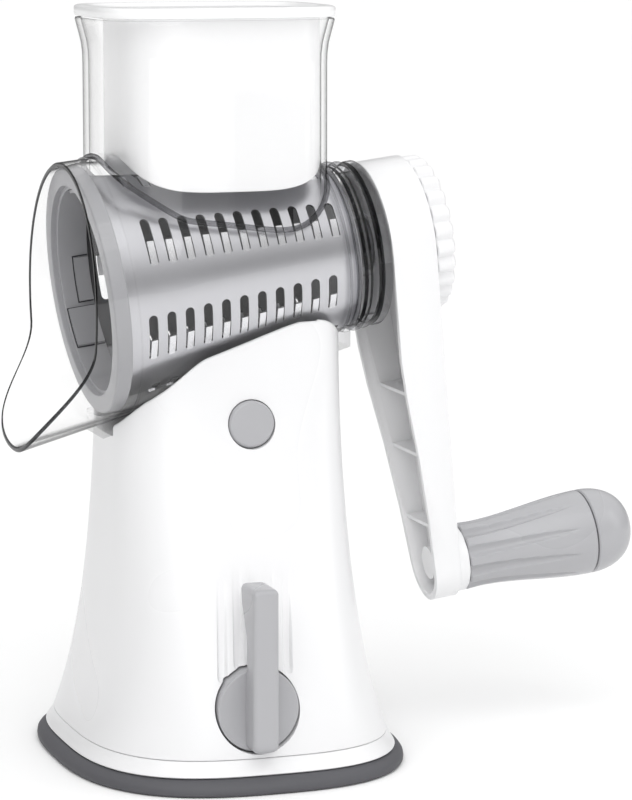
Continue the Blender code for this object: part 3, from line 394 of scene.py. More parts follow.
class Nodes:
    """Short calls for a material's node tree."""

    def __init__(self, name):
        self.material = bpy.data.materials.new(name)
        self.material.use_nodes = True
        self.tree = self.material.node_tree
        self.shader = self.tree.nodes["Principled BSDF"]

    def add(self, kind, **values):
        node = self.tree.nodes.new(kind)
        for key, value in values.items():
            if key in node.inputs:
                node.inputs[key].default_value = value
            else:
                setattr(node, key, value)
        return node

    def link(self, source, target):
        self.tree.links.new(source, target)

    def set(self, **values):
        for key, value in values.items():
            self.shader.inputs[key.replace("_", " ")].default_value = value

    def coordinates(self, scale=(1, 1, 1), rotation=(0, 0, 0)):
        place = self.add("ShaderNodeTexCoord")
        mapping = self.add("ShaderNodeMapping")
        mapping.inputs["Scale"].default_value = scale
        mapping.inputs["Rotation"].default_value = rotation
        self.link(place.outputs["Object"], mapping.inputs["Vector"])
        return mapping.outputs["Vector"]

    def noise(self, vector, scale, detail=3.0):
        node = self.add("ShaderNodeTexNoise", Scale=scale, Detail=detail)
        self.link(vector, node.inputs["Vector"])
        return node.outputs["Fac"]

    def spread(self, value, low, high):
        """A number that runs from low to high with the texture."""
        return map_range(self.tree, value, (0.2, 0.8, low, high))

    def tint(self, value, dark, light):
        node = self.add("ShaderNodeMix", data_type="RGBA")
        colours = {"A": (*dark, 1), "B": (*light, 1)}
        for socket in node.inputs:
            if socket.type == "RGBA":
                socket.default_value = colours[socket.name]
        self.link(value, node.inputs[0])
        return next(s for s in node.outputs if s.type == "RGBA")

    def power(self, value, exponent):
        node = self.add("ShaderNodeMath", operation="POWER")
        node.inputs[1].default_value = exponent
        self.link(value, node.inputs[0])
        return node.outputs["Value"]

    def bump(self, value, strength, distance):
        node = self.add("ShaderNodeBump", Strength=strength, Distance=distance)
        self.link(value, node.inputs["Height"])
        self.link(node.outputs["Normal"], self.shader.inputs["Normal"])


def plastic(name, dark, light, roughness, grain=0.12):
    """Moulded plastic: faint colour drift, a fine spark-eroded grain and uneven gloss."""
    made = Nodes(name)
    vector = made.coordinates()
    drift = made.noise(vector, 9.0, 1.0)
    fine = made.noise(vector, 2600.0, 2.0)
    made.link(made.tint(drift, dark, light), made.shader.inputs["Base Color"])
    made.link(made.spread(drift, *roughness), made.shader.inputs["Roughness"])
    made.bump(fine, grain, 0.00006)
    made.set(IOR=1.5)
    return made.material


def rubber():
    made = Nodes("foot_rubber")
    vector = made.coordinates()
    drift = made.noise(vector, 35.0)
    fine = made.noise(vector, 1800.0, 4.0)
    tint = made.tint(drift, (0.078, 0.078, 0.086), (0.095, 0.095, 0.105))
    made.link(tint, made.shader.inputs["Base Color"])
    made.link(made.spread(drift, 0.55, 0.72), made.shader.inputs["Roughness"])
    made.bump(fine, 0.35, 0.0001)
    return made.material


def steel(name, colour, roughness, turned=True):
    """Satin steel: brushing round the drum's axis, or fine grain on small parts."""
    made = Nodes(name)
    if turned:
        tilt = (0, -Vector((1, 0, 0)).angle(AXIS), 0)
        brushed = made.coordinates((1.0, 0.02, 0.02), tilt)
    else:
        brushed = made.coordinates()
    lines = made.noise(brushed, 3200.0, 3.0)
    drift = made.noise(made.coordinates(), 30.0)
    dark = tuple(0.93 * c for c in colour)
    made.link(made.tint(lines, dark, colour), made.shader.inputs["Base Color"])
    made.link(made.spread(drift, *roughness), made.shader.inputs["Roughness"])
    made.bump(lines, 0.12, 0.00004)
    made.set(Metallic=1.0)
    return made.material


CLEAR_GLOSS = 0.06
CLEAR_STEEP = (0.70, 0.93)
CLEAR_SHINE = (0.55, 0.025)


def clear_plastic(name, face_on, edge_on):
    """Thin clear moulding: lets light through unbent, darker where it is seen along its wall."""
    made = Nodes(name)
    tree = made.tree
    tree.nodes.remove(made.shader)
    angle = made.add("ShaderNodeLayerWeight", Blend=0.5)
    steep = map_range(tree, angle.outputs["Facing"], (*CLEAR_STEEP, 0.0, 1.0), "SMOOTHSTEP")
    through = made.add("ShaderNodeBsdfTransparent")
    made.link(made.tint(steep, face_on, edge_on), through.inputs["Color"])
    shine = made.add("ShaderNodeBsdfGlossy", Roughness=CLEAR_GLOSS)
    shine.inputs["Color"].default_value = (1, 1, 1, 1)
    bounce = made.add("ShaderNodeMath", operation="MULTIPLY_ADD")
    made.link(made.power(angle.outputs["Facing"], 5.0), bounce.inputs[0])
    bounce.inputs[1].default_value, bounce.inputs[2].default_value = CLEAR_SHINE
    blend = made.add("ShaderNodeMixShader")
    made.link(bounce.outputs["Value"], blend.inputs[0])
    made.link(through.outputs["BSDF"], blend.inputs[1])
    made.link(shine.outputs["BSDF"], blend.inputs[2])
    made.link(blend.outputs["Shader"], tree.nodes["Material Output"].inputs["Surface"])
    return made.material


# painted light: a lighter copy of the white plastic for the pusher, making up for the light lost
# behind the clear hopper
PUSHER_WHITE_PAINTED_LIGHT = plastic("pusher_white_painted_light", (0.885, 0.885, 0.89), (0.895, 0.895, 0.90), (0.22, 0.27))
WHITE = plastic("white_plastic", (0.80, 0.80, 0.808), (0.812, 0.812, 0.818), (0.26, 0.31))
GREY = plastic("grey_plastic", (0.39, 0.39, 0.405), (0.41, 0.41, 0.425), (0.25, 0.31), 0.15)
RING_GREY = plastic("ring_plastic", (0.33, 0.33, 0.345), (0.35, 0.35, 0.365), (0.30, 0.38), 0.2)
RUBBER = rubber()
DRUM_STEEL = steel("drum_steel", (0.60, 0.60, 0.625), (0.28, 0.34))
PIN_STEEL = steel("pin_steel", (0.66, 0.66, 0.68), (0.2, 0.3), turned=False)
# painted shade: a near-black copy of the drum's steel for its inner faces, standing in for the dark
# inside the drum
DRUM_INSIDE_PAINTED_SHADE = steel("drum_inside_painted_shade", (0.12, 0.12, 0.125), (0.42, 0.5))
# painted highlight: a much lighter copy of the drum's steel for the teeth punched from the same
# sheet
TOOTH_STEEL_PAINTED_LIGHT = steel("tooth_steel_painted_light", (0.86, 0.86, 0.88), (0.24, 0.3))
# near-black plastic used only as a painted shadow in the gaps round the ring's lugs
PAINTED_GAP_SHADOW = plastic("seam_shadow", (0.03, 0.03, 0.033), (0.035, 0.035, 0.038), (0.6, 0.7))
CLEAR = clear_plastic("clear_moulding", (0.995, 0.995, 0.995), (0.05, 0.05, 0.053))
# painted shade: darker copies of the clear material, the ridge one for the rear ridges' crests and
# the edge one, near-black, for their valleys and the spout's rim
CLEAR_RIDGE_PAINTED_SHADE = clear_plastic("clear_ridge_painted_shade", (0.72, 0.72, 0.73), (0.02, 0.02, 0.022))
# painted shade: a darker copy of the clear material for the bead where the hopper meets the barrel
CLEAR_BEAD_PAINTED_SHADE = clear_plastic("clear_bead_painted_shade", (0.62, 0.62, 0.63), (0.01, 0.01, 0.011))
CLEAR_EDGE_PAINTED_SHADE = clear_plastic("clear_edge_painted_shade", (0.06, 0.06, 0.063), (0.02, 0.02, 0.022))


def finish_piece(made, surface, body, slot, *nodes):
    """Gives a piece its material and its body, and hides the CAD nodes that it stands for."""
    made.data.materials.clear()
    made.data.materials.append(surface)
    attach(made, body)
    if nodes:
        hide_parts(*nodes)
    return made


# ------------------------------------------------------------ shared surfaces
def on_axis(along, up=0.0, side=0.0):
    return AXIS_START + along * AXIS + up * AXIS_UP + Vector((0, side, 0))


def drum_radius(along):
    return DRUM_R - DRUM_TAPER * along


def barrel_bore(along):
    wide, close = RING_R + 0.8, drum_radius(along) + 1.1
    return wide + (close - wide) * smoothstep((along - RING_WIDTH - 3) / 28)


def barrel_outside(along):
    return barrel_bore(along) + CLEAR_WALL


def body_half_x(z):
    return BODY_TOP[0] + (BODY_BASE[0] - BODY_TOP[0]) * exp(-(z - BODY_LOW) / 33)


def body_rise(z):
    return min(max((z - BODY_LOW) / (BODY_TOP_Z - BODY_LOW), 0.0), 1.0)


def body_half_y(z):
    return BODY_TOP[1] + (BODY_BASE[1] - BODY_TOP[1]) * 0.5 * (1 + cos(pi * body_rise(z) ** 0.8))


def body_power(z):
    return 2.9 + 1.3 * body_rise(z)


def rail_line(x):
    """Height of the rail's underside, a straight line under the barrel."""
    start = on_axis(RING_WIDTH, up=-barrel_outside(RING_WIDTH))
    end = on_axis(90, up=-barrel_outside(90))
    return start.z + (end.z - start.z) / (end.x - start.x) * (x - start.x) - RAIL_DEPTH


# ------------------------------------------------------------ tower
# each flute's middle at its foot, its lowest point and its highest
FLUTES = (
    (-17.4, 39.9, 78.0),
    (-11.0, 44.2, 82.0),
    (-4.7, 46.0, 84.0),
    (1.7, 44.5, 82.0),
    (7.7, 41.3, 80.0),
)
FLUTE_R = 2.05
FLUTE_DEPTH = 1.9
FLUTE_LEAN = 0.095


def flute_depth(x, z):
    """How far the front is sunk at a point: five grooves that deepen downward to a round end."""
    total = 0.0
    for centre, bottom, top in FLUTES:
        low = bottom + FLUTE_R
        dz = low - z if z < low else 0.0
        middle = centre + FLUTE_LEAN * (z - low)
        reach = ((x - middle) ** 2 + dz * dz) ** 0.5 / FLUTE_R
        if reach < 1.0 and z < top:
            fade = smoothstep((top - z) / (top - low))
            total += FLUTE_DEPTH * fade * smoothstep((1 - reach) / 0.5)
    return total


def saddle_gap(point):
    """Distance from a point to the barrel's skin with its clearance; below it is positive."""
    offset = Vector(point) - AXIS_START
    along = offset.dot(AXIS)
    up = offset.dot(AXIS_UP)
    spread = 0.20 * max(RING_WIDTH + 5 - along, 0)
    return (up * up + point[1] ** 2) ** 0.5 - barrel_outside(max(along, 0)) - SADDLE_FIT - spread


def shoulder_height(x):
    """The tower's top over x: flat, then an arc down at the crank's end."""
    middle = BODY_TOP[0] - SHOULDER_R
    reach = SHOULDER_R + 0.4
    if x <= middle:
        return BODY_TOP_Z
    return BODY_TOP_Z - SHOULDER_R + max(reach**2 - (x - middle) ** 2, 0.0) ** 0.5


def wall_point(angle, z):
    """A point of the tower's wall: the angle only picks its place round the outline."""
    power = body_power(z)
    c, s = cos(angle), sin(angle)
    x = body_half_x(z) * abs(c) ** (2 / power) * (1 if c > 0 else -1)
    y = body_half_y(z) * abs(s) ** (2 / power) * (1 if s > 0 else -1)
    return x, y


def wall_top(angle):
    """Height where the wall meets the saddle or the shoulder."""

    def under(z):
        x, y = wall_point(angle, z)
        return saddle_gap((x, y, z)) > 0 and z < shoulder_height(x)

    return last_within(90.0, BODY_TOP_Z + 4, under, 40)


def wall_angles():
    """Angles round the outline, close together where the flutes are."""
    front = list(np.linspace(1.5 * pi - 0.30, 1.5 * pi + 0.22, 210))
    even = np.linspace(0, 2 * pi, 480, endpoint=False)
    return sorted([a for a in even if not front[0] - 0.01 < a < front[-1] + 0.01] + front)


def saddle_floor(x, y, start):
    """Height of the saddle under the barrel at a plan position."""
    floor = last_within(start - 60, start + 0.5, lambda z: saddle_gap((x, y, z)) > 0, 30)
    return min(floor, shoulder_height(x))


def wall_loops(angles, tops):
    """The wall from the seam line up to where its top edge starts to round."""
    levels = list(np.linspace(0, 0.14, 12)) + list(np.linspace(0.15, 0.60, 75))
    levels += list(np.linspace(0.63, 1.0, 22))
    loops = []
    for share in levels:
        loop = []
        for a, top in zip(angles, tops):
            z = BODY_LOW + (top - TOP_EDGE - BODY_LOW) * share
            x, y = wall_point(a, z)
            if y < 0:
                y += flute_depth(x, z)
            loop.append((x, y, z))
        loops.append(loop)
    sunk, seam = 1 - SEAM_DEPTH / BODY_BASE[0], SEAM_Z + 0.25
    loops[0] = [(x * sunk, y * sunk, z) for x, y, z in loops[0]]
    rim = [wall_point(a, seam) for a in angles]
    loops.insert(1, [(x * sunk, y * sunk, seam - 0.05) for x, y in rim])
    loops.insert(2, [(x, y, seam) for x, y in rim])
    return loops


def edge_loops(angles, tops):
    """The rounding of the wall's top edge."""
    loops = []
    for turned in (25, 50, 72, 90):
        inset = TOP_EDGE * (1 - cos(radians(turned)))
        rise = TOP_EDGE * sin(radians(turned))
        loop = []
        for a, top in zip(angles, tops):
            z = top - TOP_EDGE + rise
            x, y = wall_point(a, z)
            shrink = 1 - inset / (x * x + y * y) ** 0.5
            loop.append((x * shrink, y * shrink, z))
        loops.append(loop)
    return loops


def tower_space():
    """The hollow inside the tower, up to a roof under the rail."""
    loops = []
    for z in list(np.linspace(BODY_LOW - 1, 115, 14)) + [135.0]:
        half_x, half_y = body_half_x(z) - BODY_WALL, body_half_y(z) - BODY_WALL
        loops.append(squircle(half_x, half_y - FLUTE_DEPTH, body_power(z), z, count=96))
    loops[-1] = [(x, y, rail_line(x) - 3.2) for x, y, _ in loops[-1]]
    return loft("tower_space", loops)


def build_tower():
    angles = wall_angles()
    tops = [wall_top(a) for a in angles]
    loops = wall_loops(angles, tops) + edge_loops(angles, tops)
    rim = loops[-1]
    for share in (0.93, 0.8, 0.6, 0.4, 0.2, 0.05):
        plan = [(x * share, y * share, z) for x, y, z in rim]
        loops.append([(x, y, saddle_floor(x, y, z + 2)) for x, y, z in plan])
    tower = loft("tower", loops)
    combine(tower, tower_space())
    bore = rod("button_bore", BUTTON_BORE_R, 22, 50, facing_front(BUTTON_PIVOT), 96)
    combine(tower, bore, solver="FAST")
    web_low = (LEVER_PIVOT.x - WEB_REACH, WEB_Y[0], BODY_LOW)
    web_high = (LEVER_PIVOT.x + WEB_REACH, WEB_Y[1], LEVER_PIVOT.z + WEB_REACH)
    combine(tower, block("web", web_low, web_high), "UNION")
    start, end = RAIL_ENDS[0] - 1, RAIL_ENDS[1]
    channel = [(start, rail_line(start) - RAIL_FIT), (end, rail_line(end) - RAIL_FIT)]
    channel += [(end, rail_line(end) + 12), (start, rail_line(RAIL_ENDS[0]) + 9)]
    half = RAIL_HALF_Y + RAIL_FIT
    combine(tower, extrude("channel", channel, -half, half, "Y"))
    catch = ((-1.1, -1.8, 132.6), (7.5, 4.6, rail_line(HOOK_MIDDLE) + 4))
    combine(tower, block("catch_slot", *catch))
    front = facing_front(LEVER_PIVOT)
    combine(tower, rod("disc_bore", DISC_BORE_R, 59.8, 90, front, 96))
    combine(tower, rod("shaft_bore", CAM_BORE_R, 30, 80, front, 32))
    finish_piece(tower, WHITE, "stand", "white_plastic", "body_shell")


# ------------------------------------------------------------ base
def build_trim():
    low, high = (corner[2] for corner in box_mm("trim_skirt"))

    def level(grow_x, grow_y, z):
        return squircle(BODY_BASE[0] + grow_x, BODY_BASE[1] + grow_y, BASE_POWER, z)

    flare = ((2.7, 3.5), (2.0, 2.5), (1.2, 1.5), (0.5, 0.6), (0.0, 0.0))
    loops = [level(2.3, 3.1, low)]
    for i, (grow_x, grow_y) in enumerate(flare):
        z = low + 0.4 + (SEAM_Z - low - 0.8) * i / (len(flare) - 1)
        loops.append(level(grow_x, grow_y, z))
    loops += [level(-0.1, -0.1, SEAM_Z - 0.2), level(-1.1, -1.1, SEAM_Z)]
    loops += [level(-2.2, -2.2, high), level(-0.2, 0.4, low)]
    finish_piece(loft("trim", loops, closed=True), WHITE, "stand", "white_plastic", "trim_skirt")


def build_foot():
    """Rubber foot: a rounded side and a hollow from the top down."""
    half_x, half_y, top = box_mm("suction_pad")[1]
    outline = [(-1.4, 0.0), (-0.6, 0.25), (-0.1, 0.9), (0.0, 1.8), (-0.2, 3.0), (-0.9, 4.0)]
    outline += [(-2.2, 5.2), (-3.4, top - 0.15), (-4.2, top), (-11.0, top), (-11.0, 2.6)]
    loops = [squircle(half_x + grow, half_y + grow, FOOT_POWER, z) for grow, z in outline]
    finish_piece(loft("rubber_foot", loops), RUBBER, "stand", "rubber", "suction_pad")


# ------------------------------------------------------------ lever and button
def lever_bar():
    """The lever's bar in rounded sections: deep over the disc, thinner towards its top."""
    low, high, ahead = LEVER_PIVOT.z - LEVER_DISC_R + 0.9, LEVER_TOP, LEVER_FRONT_Y
    disc_top = LEVER_PIVOT.z + LEVER_DISC_R
    bend = (LEVER_PIVOT.z + 27.0, LEVER_PIVOT.z + 39.5)
    heights = (low, disc_top - 3.0, disc_top - 0.5, *bend, high)
    root = 6 - LEVER_FACE
    backs = (root, root, ahead + 8.7, ahead + 8.7, ahead + 15.0, ahead + 16.0)
    levels = [(low, 2.4), (low + 0.5, 1.2), (low + 1.2, 0.5), (low + 2.4, 0.0)]
    levels += [(z, 0.0) for z in np.linspace(low + 4, high - 3, 26)]
    levels += [(high - 1.8, 0.0), (high - 0.9, 0.35), (high - 0.3, 0.9), (high, 1.9)]
    loops = []
    for z, inset in levels:
        half = LEVER_BAR_HALF - inset
        left, right = LEVER_PIVOT.x - half, LEVER_PIVOT.x + half
        front, back = ahead + inset, np.interp(z, heights, backs)
        outline = [(left, front, 1.9), (right, front, 1.9), (right, back, 0.4), (left, back, 0.4)]
        loops.append([(x, y, z) for x, y in rounded(outline, 6)])
    return loft("bar", loops)


def build_lever():
    """Suction knob: a dished disc with a bar standing up from it."""
    front = facing_front(LEVER_PIVOT)
    radius, face, back = LEVER_DISC_R, LEVER_FACE, LEVER_BACK
    dish = [(0, back), (radius, back, 0.5), (radius, face, 0.4), (radius - 0.9, face, 0.4)]
    dish += [(8.0, face - 0.8), (4.0, face - 1.1), (0, face - 1.2)]
    disc = turn("lever", rounded(dish), front, 96)
    combine(disc, lever_bar(), "UNION")
    combine(disc, rod("lever_bore", LEVER_BORE_R, 50, 65.9, front, 32))
    finish_piece(disc, GREY, "lever", "grey_plastic", "suction_lever")


def build_button():
    profile = [(0, -BUTTON_DEPTH), (BUTTON_R, -BUTTON_DEPTH, 0.4), (BUTTON_R, -0.9, 0.4)]
    profile += [(BUTTON_R - 0.7, 0, 0.5), (0, 0)]
    button = turn("button", rounded(profile), facing_front(BUTTON_PIVOT, BUTTON_FACE_Y), 96)
    finish_piece(button, GREY, "button", "grey_plastic", "release_button")


# ------------------------------------------------------------ clear moulding
def spout_rim(shrink, tuck=0.0):
    """The spout's rim: an upright half circle over a lip that runs forward and down."""
    loop = []
    for i in range(CLEAR_POINTS):
        angle = 2 * pi * i / CLEAR_POINTS
        across, up = sin(angle), cos(angle)
        ease = smoothstep((-up - 0.25) / 0.75)
        radius = SPOUT_R - shrink
        height = radius if up > 0 else SPOUT_DROP - shrink
        loop.append((SPOUT_X + tuck - SPOUT_LIP * ease, across * radius, SPOUT_Z + up * height))
    return loop


def barrel_ring(along, radius):
    angles = [2 * pi * i / CLEAR_POINTS for i in range(CLEAR_POINTS)]
    return [tuple(on_axis(along, up=radius * cos(a), side=radius * sin(a))) for a in angles]


def mixed(loop_a, loop_b, share):
    return [tuple(Vector(a).lerp(Vector(b), share)) for a, b in zip(loop_a, loop_b)]


def spout(mouth):
    """The open spout: a shell from within the barrel's wall out to the rim and back."""
    bite = 0.3 * CLEAR_WALL
    outer = barrel_ring(mouth, barrel_outside(mouth) - bite)
    inner = barrel_ring(mouth, barrel_bore(mouth) + bite)
    rim_out, rim_in = spout_rim(0, 0.5), spout_rim(CLEAR_WALL, 0.5)
    shares = (0, 0.25, 0.5, 0.75, 1)
    loops = [mixed(outer, rim_out, t) for t in shares]
    loops += [spout_rim(0.5), spout_rim(CLEAR_WALL - 0.5)]
    loops += [mixed(rim_in, inner, t) for t in shares]
    return loft("spout", loops, closed=True)


def hopper(name, shrink, low, high):
    """The hopper as a solid, straight below and flared towards its top."""
    levels = [(low, 0), (HOPPER_TOP - 17, 0), (HOPPER_TOP - 13, 0.04), (HOPPER_TOP - 9, 0.22)]
    levels += [(HOPPER_TOP - 6, 0.48), (HOPPER_TOP - 3, 0.76), (HOPPER_TOP - 0.6, 0.97)]
    levels.append((high, 1 + (high - HOPPER_TOP) / 9 if high > HOPPER_TOP else 0.9))
    loops = []
    for z, share in levels:
        grow = HOPPER_FLARE * share - shrink
        half = (HOPPER[0] + grow, HOPPER[1] + grow)
        loops.append(squircle(*half, HOPPER_POWER, z, HOPPER_X, CLEAR_POINTS))
    return loft(name, loops)


def barrel_profile(stations):
    """Outside of the barrel, its rear ridges and its flange, as (radius, height)."""
    outside = [(0, BARREL_START)] + [(barrel_outside(s), s) for s in stations if s < 95]
    for crest in RIDGE_CRESTS:
        r = min(barrel_outside(crest), FLANGE_R + 1.0)
        outside += [(r - 0.2, crest - 1.2), (r, crest - 0.6), (r - 0.1, crest)]
        outside += [(r - 1.9, crest + 0.5), (r - 2.0, crest + 1.6)]
    outside += [(FLANGE_R - 0.3, 110.4), (FLANGE_R, 111.0), (FLANGE_R, FLANGE_END - 0.7)]
    return outside + [(FLANGE_R - 0.6, FLANGE_END), (0, FLANGE_END)]


def build_clear():
    start = BARREL_START
    stations = [start + (BARREL_REAR - start) * i / 24 for i in range(25)]
    clear = turn("clear_moulding", barrel_profile(stations), DRUM_FRAME, CLEAR_POINTS)
    combine(clear, hopper("hopper_outside", 0, AXIS_START.z + 12, HOPPER_TOP), "UNION")
    front, rear = RAIL_ENDS
    rail = [(front, rail_line(front)), (rear, rail_line(rear))]
    rail += [(rear, rail_line(rear) + 12), (front, rail_line(front) + 8)]
    combine(clear, extrude("rail", rail, -RAIL_HALF_Y, RAIL_HALF_Y, "Y"), "UNION")
    left, right = HOOK_X
    hook_top = rail_line(HOOK_MIDDLE) + 3
    combine(clear, block("hook", (left, -1.5, HOOK_LOW), (right, 1.5, hook_top)), "UNION")
    combine(clear, block("barb", (left, 0, HOOK_LOW), (right, 4.3, 129.7)), "UNION")
    bore = [(0, -20), (barrel_bore(start), -20)]
    bore += [(barrel_bore(s), s) for s in stations] + [(0, BARREL_REAR)]
    combine(clear, turn("bore", bore, DRUM_FRAME, CLEAR_POINTS))
    combine(clear, hopper("hopper_space", CLEAR_WALL, AXIS_START.z + 13, HOPPER_TOP + 4))
    combine(clear, spout(start + 2), "UNION")
    combine(clear, rod("bush_seat", BUSH_SEAT_R, 102, 116, DRUM_FRAME, 64))
    reach, floor, out = FLANGE_R - 4, BARREL_REAR + 2.6, 116
    groove = [(GROOVE_BORE, floor), (reach, floor), (reach, out), (GROOVE_BORE, out)]
    combine(clear, turn("groove", groove, DRUM_FRAME, CLEAR_POINTS))
    finish_piece(clear, CLEAR, "stand", "clear_plastic", "clear_barrel")
    paint_clear_shade(clear)


def paint_clear_shade(clear):
    """Painted shade: a near-black clear material on the rear ridges' valleys and the spout's rim,
    and a darker one on the ridge crests, for the dark lines that bent light draws there.
    """
    clear.data.materials.append(CLEAR_EDGE_PAINTED_SHADE)
    clear.data.materials.append(CLEAR_RIDGE_PAINTED_SHADE)
    edge, ridge = 1, 2
    rim = [Vector(p) for p in spout_rim(0.5 * CLEAR_WALL, 0.25)]
    for face in clear.data.polygons:
        centre = face.center / MM
        offset = centre - AXIS_START
        along = offset.dot(AXIS)
        reach = (offset.dot(AXIS_UP) ** 2 + offset.y**2) ** 0.5
        if along > 95.5 and FLANGE_R - RIDGE_BAND < reach < FLANGE_R + RIDGE_BAND:
            # valleys get the near-black painted shade, crests the darker painted shade
            face.material_index = edge if reach < FLANGE_R - 0.8 else ridge
        if centre.x < SPOUT_X + 3 and min((centre - p).length for p in rim) < 0.9 * CLEAR_WALL:
            face.material_index = edge


def barrel_top(x, y):
    """Height of the barrel's outside at a plan position."""

    def inside(z):
        offset = Vector((x, y, z)) - AXIS_START
        along = min(max(offset.dot(AXIS), 0), BARREL_REAR)
        return offset.dot(AXIS_UP) ** 2 + y * y < barrel_outside(along) ** 2

    return last_within(AXIS_START.z, AXIS_START.z + 80, inside, 30)


def build_bead():
    """Rounded bead where the hopper grows out of the barrel."""
    outline = squircle(*HOPPER, HOPPER_POWER, 0, HOPPER_X, CLEAR_POINTS)
    curve = [Vector((x, y, barrel_top(x, y))) for x, y, _ in outline]
    ring = [2 * pi * k / 12 for k in range(12)]
    loops = []
    for i, here in enumerate(curve):
        run = (curve[(i + 1) % len(curve)] - curve[i - 1]).normalized()
        out = Vector((0, 0, 1)).cross(run).normalized()
        rise = run.cross(out)
        loops.append([tuple(here + BEAD_R * (cos(a) * out + sin(a) * rise)) for a in ring])
    bead = loft("hopper_bead", loops, closed=True, smooth=180)
    # the bead's darker clear material is painted shade for the line that bent light draws along the
    # joint
    finish_piece(bead, CLEAR_BEAD_PAINTED_SHADE, "stand", "clear_plastic")


# ------------------------------------------------------------ drum
def drum_slots():
    """Each slot's place along the axis and the angle of its middle, in staggered rows."""
    slots = []
    for row in range(SLOT_ROWS):
        middle = -pi / 2 - FIRST_ROW + row * 2 * pi / SLOT_ROWS
        for index in range(SLOTS_PER_ROW):
            slots.append((SLOT_START + index * SLOT_PITCH - (row % 2) * 0.5 * SLOT_PITCH, middle))
    return slots


def slot_outline(along):
    """A slot in angle and length along the axis: round at its top, straight at the tooth."""
    half = 0.5 * SLOT_WIDTH
    bend = half / drum_radius(along)
    top = -0.5 * SLOT_ARC
    edge = 0.46 * SLOT_ARC
    points = [(edge, half), (edge, -half)]
    for i in range(9):
        a = pi * i / 8
        points.append((top + bend - bend * sin(a), -half * cos(a)))
    return points


def add_prism(points, faces, outline, middle, along):
    """Adds a slot's cutter: its outline from under the sheet to over it."""
    start = len(points)
    count = len(outline)
    for radius in (drum_radius(along) - 4, drum_radius(along) + 3):
        for angle, shift in outline:
            at = middle + angle
            points.append((radius * cos(at), radius * sin(at), along + shift))
    faces.append(tuple(start + i for i in range(count)))
    faces.append(tuple(start + count + i for i in range(count)))
    for i in range(count):
        j = (i + 1) % count
        faces.append((start + i, start + j, start + count + j, start + count + i))


def add_tooth(points, faces, along, middle):
    """Adds a punched tooth: a ramp that rises from the sheet to an edge over the slot."""
    half = 0.5 * SLOT_WIDTH - TOOTH_SIDE_GAP
    radius = drum_radius(along)
    start, end = 0.02 * SLOT_ARC, 0.5 * SLOT_ARC
    steps = 6
    sections = []
    for i in range(steps + 1):
        t = i / steps
        rise = TOOTH_RISE * (1 - t) ** 1.3 + 0.05 * (1 - t)
        angle = middle + start + (end - start) * t
        section = []
        for height in (rise, rise - TOOTH_THICKNESS * (1 - 0.75 * t)):
            for shift in (-half, half):
                reach = radius + height - DRUM_TAPER * shift
                section.append((reach * cos(angle), reach * sin(angle), along + shift))
        sections.append(section)
    add_bar(points, faces, sections)


def build_drum():
    low, high = DRUM_SPAN
    profile = [(drum_radius(low), low), (drum_radius(high), high)]
    profile += [(drum_radius(high) - DRUM_SHEET, high), (drum_radius(low) - DRUM_SHEET, low)]
    drum = turn("drum_skin", profile, DRUM_FRAME, 224)
    points, faces = [], []
    for along, middle in drum_slots():
        add_prism(points, faces, slot_outline(along), middle, along)
    combine(drum, face_out(make("slot_cutter", points, faces, DRUM_FRAME)))
    finish_piece(drum, DRUM_STEEL, "crank", "steel", "drum")
    paint_shade_inside_drum(drum)
    points, faces = [], []
    for along, middle in drum_slots():
        add_tooth(points, faces, along, middle)
    # the teeth carry the lighter steel copy as a painted highlight
    teeth = face_out(make("drum_teeth", points, faces, DRUM_FRAME, smooth=50))
    finish_piece(teeth, TOOTH_STEEL_PAINTED_LIGHT, "crank", "steel")


# Painted shade: faces on the inside of the drum's sheet get the near-black copy of its steel.
def paint_shade_inside_drum(drum):
    drum.data.materials.append(DRUM_INSIDE_PAINTED_SHADE)
    to_drum = DRUM_FRAME.inverted()
    for face in drum.data.polygons:
        centre = to_drum @ (face.center / MM)
        inside = drum_radius(centre.z) - 0.4 * DRUM_SHEET
        if (centre.x**2 + centre.y**2) ** 0.5 < inside:
            face.material_index = 1


def build_ring():
    """Ring at the drum's mouth: a band, a stepped bore and bayonet lugs inside."""
    sleeve_end = RING_WIDTH + RING_SLEEVE
    sleeve_r = drum_radius(sleeve_end) - DRUM_SHEET - 0.6
    profile = [(RING_BORE + 1.6, 0, 0.4), (RING_R, 0, 0.9), (RING_R, RING_WIDTH, 0.5)]
    profile += [(sleeve_r, RING_WIDTH), (sleeve_r, sleeve_end), (RING_BORE, sleeve_end, 0.3)]
    profile += [(RING_BORE, 2.2, 0.3), (RING_BORE + 1.6, 2.2)]
    ring = turn("mouth_ring", rounded(profile), DRUM_FRAME, 192)
    finish_piece(ring, RING_GREY, "crank", "grey_plastic", "drum_front_ring")
    build_lugs("bayonet_lugs", RING_GREY, 0.0, 1.5)
    # painted shadow: near-black strips a little larger than the lugs, standing in for the shade in
    # the gaps round them
    build_lugs("lug_gap_painted_shadows", PAINTED_GAP_SHADOW, 0.45, 0.3)


def build_lugs(name, surface, grow, depth):
    """The lugs on the ring's bore, or a near-black strip round each one that is painted shadow for
    the gap beside it.
    """
    points, faces = [], []
    for index in range(LUG_SETS):
        centre = pi + index * 2 * pi / LUG_SETS
        for offset, width, low, high in ((0.0, 0.42, 3.0, 13.6), (0.50, 0.46, 8.0, 13.6)):
            spread = width + 2 * grow / RING_BORE
            add_lug(points, faces, centre + offset, spread, low - grow, high, depth)
    lugs = face_out(make(name, points, faces, DRUM_FRAME))
    finish_piece(lugs, surface, "crank", "grey_plastic")


def add_lug(points, faces, centre, width, low, high, depth):
    """Adds a curved plate on the ring's bore."""
    steps = 12
    sections = []
    for i in range(steps + 1):
        angle = centre + width * (i / steps - 0.5)
        section = []
        for radius in (RING_BORE + 0.2, RING_BORE - depth):
            for height in (low, high):
                section.append((radius * cos(angle), radius * sin(angle), height))
        sections.append(section)
    add_bar(points, faces, sections)


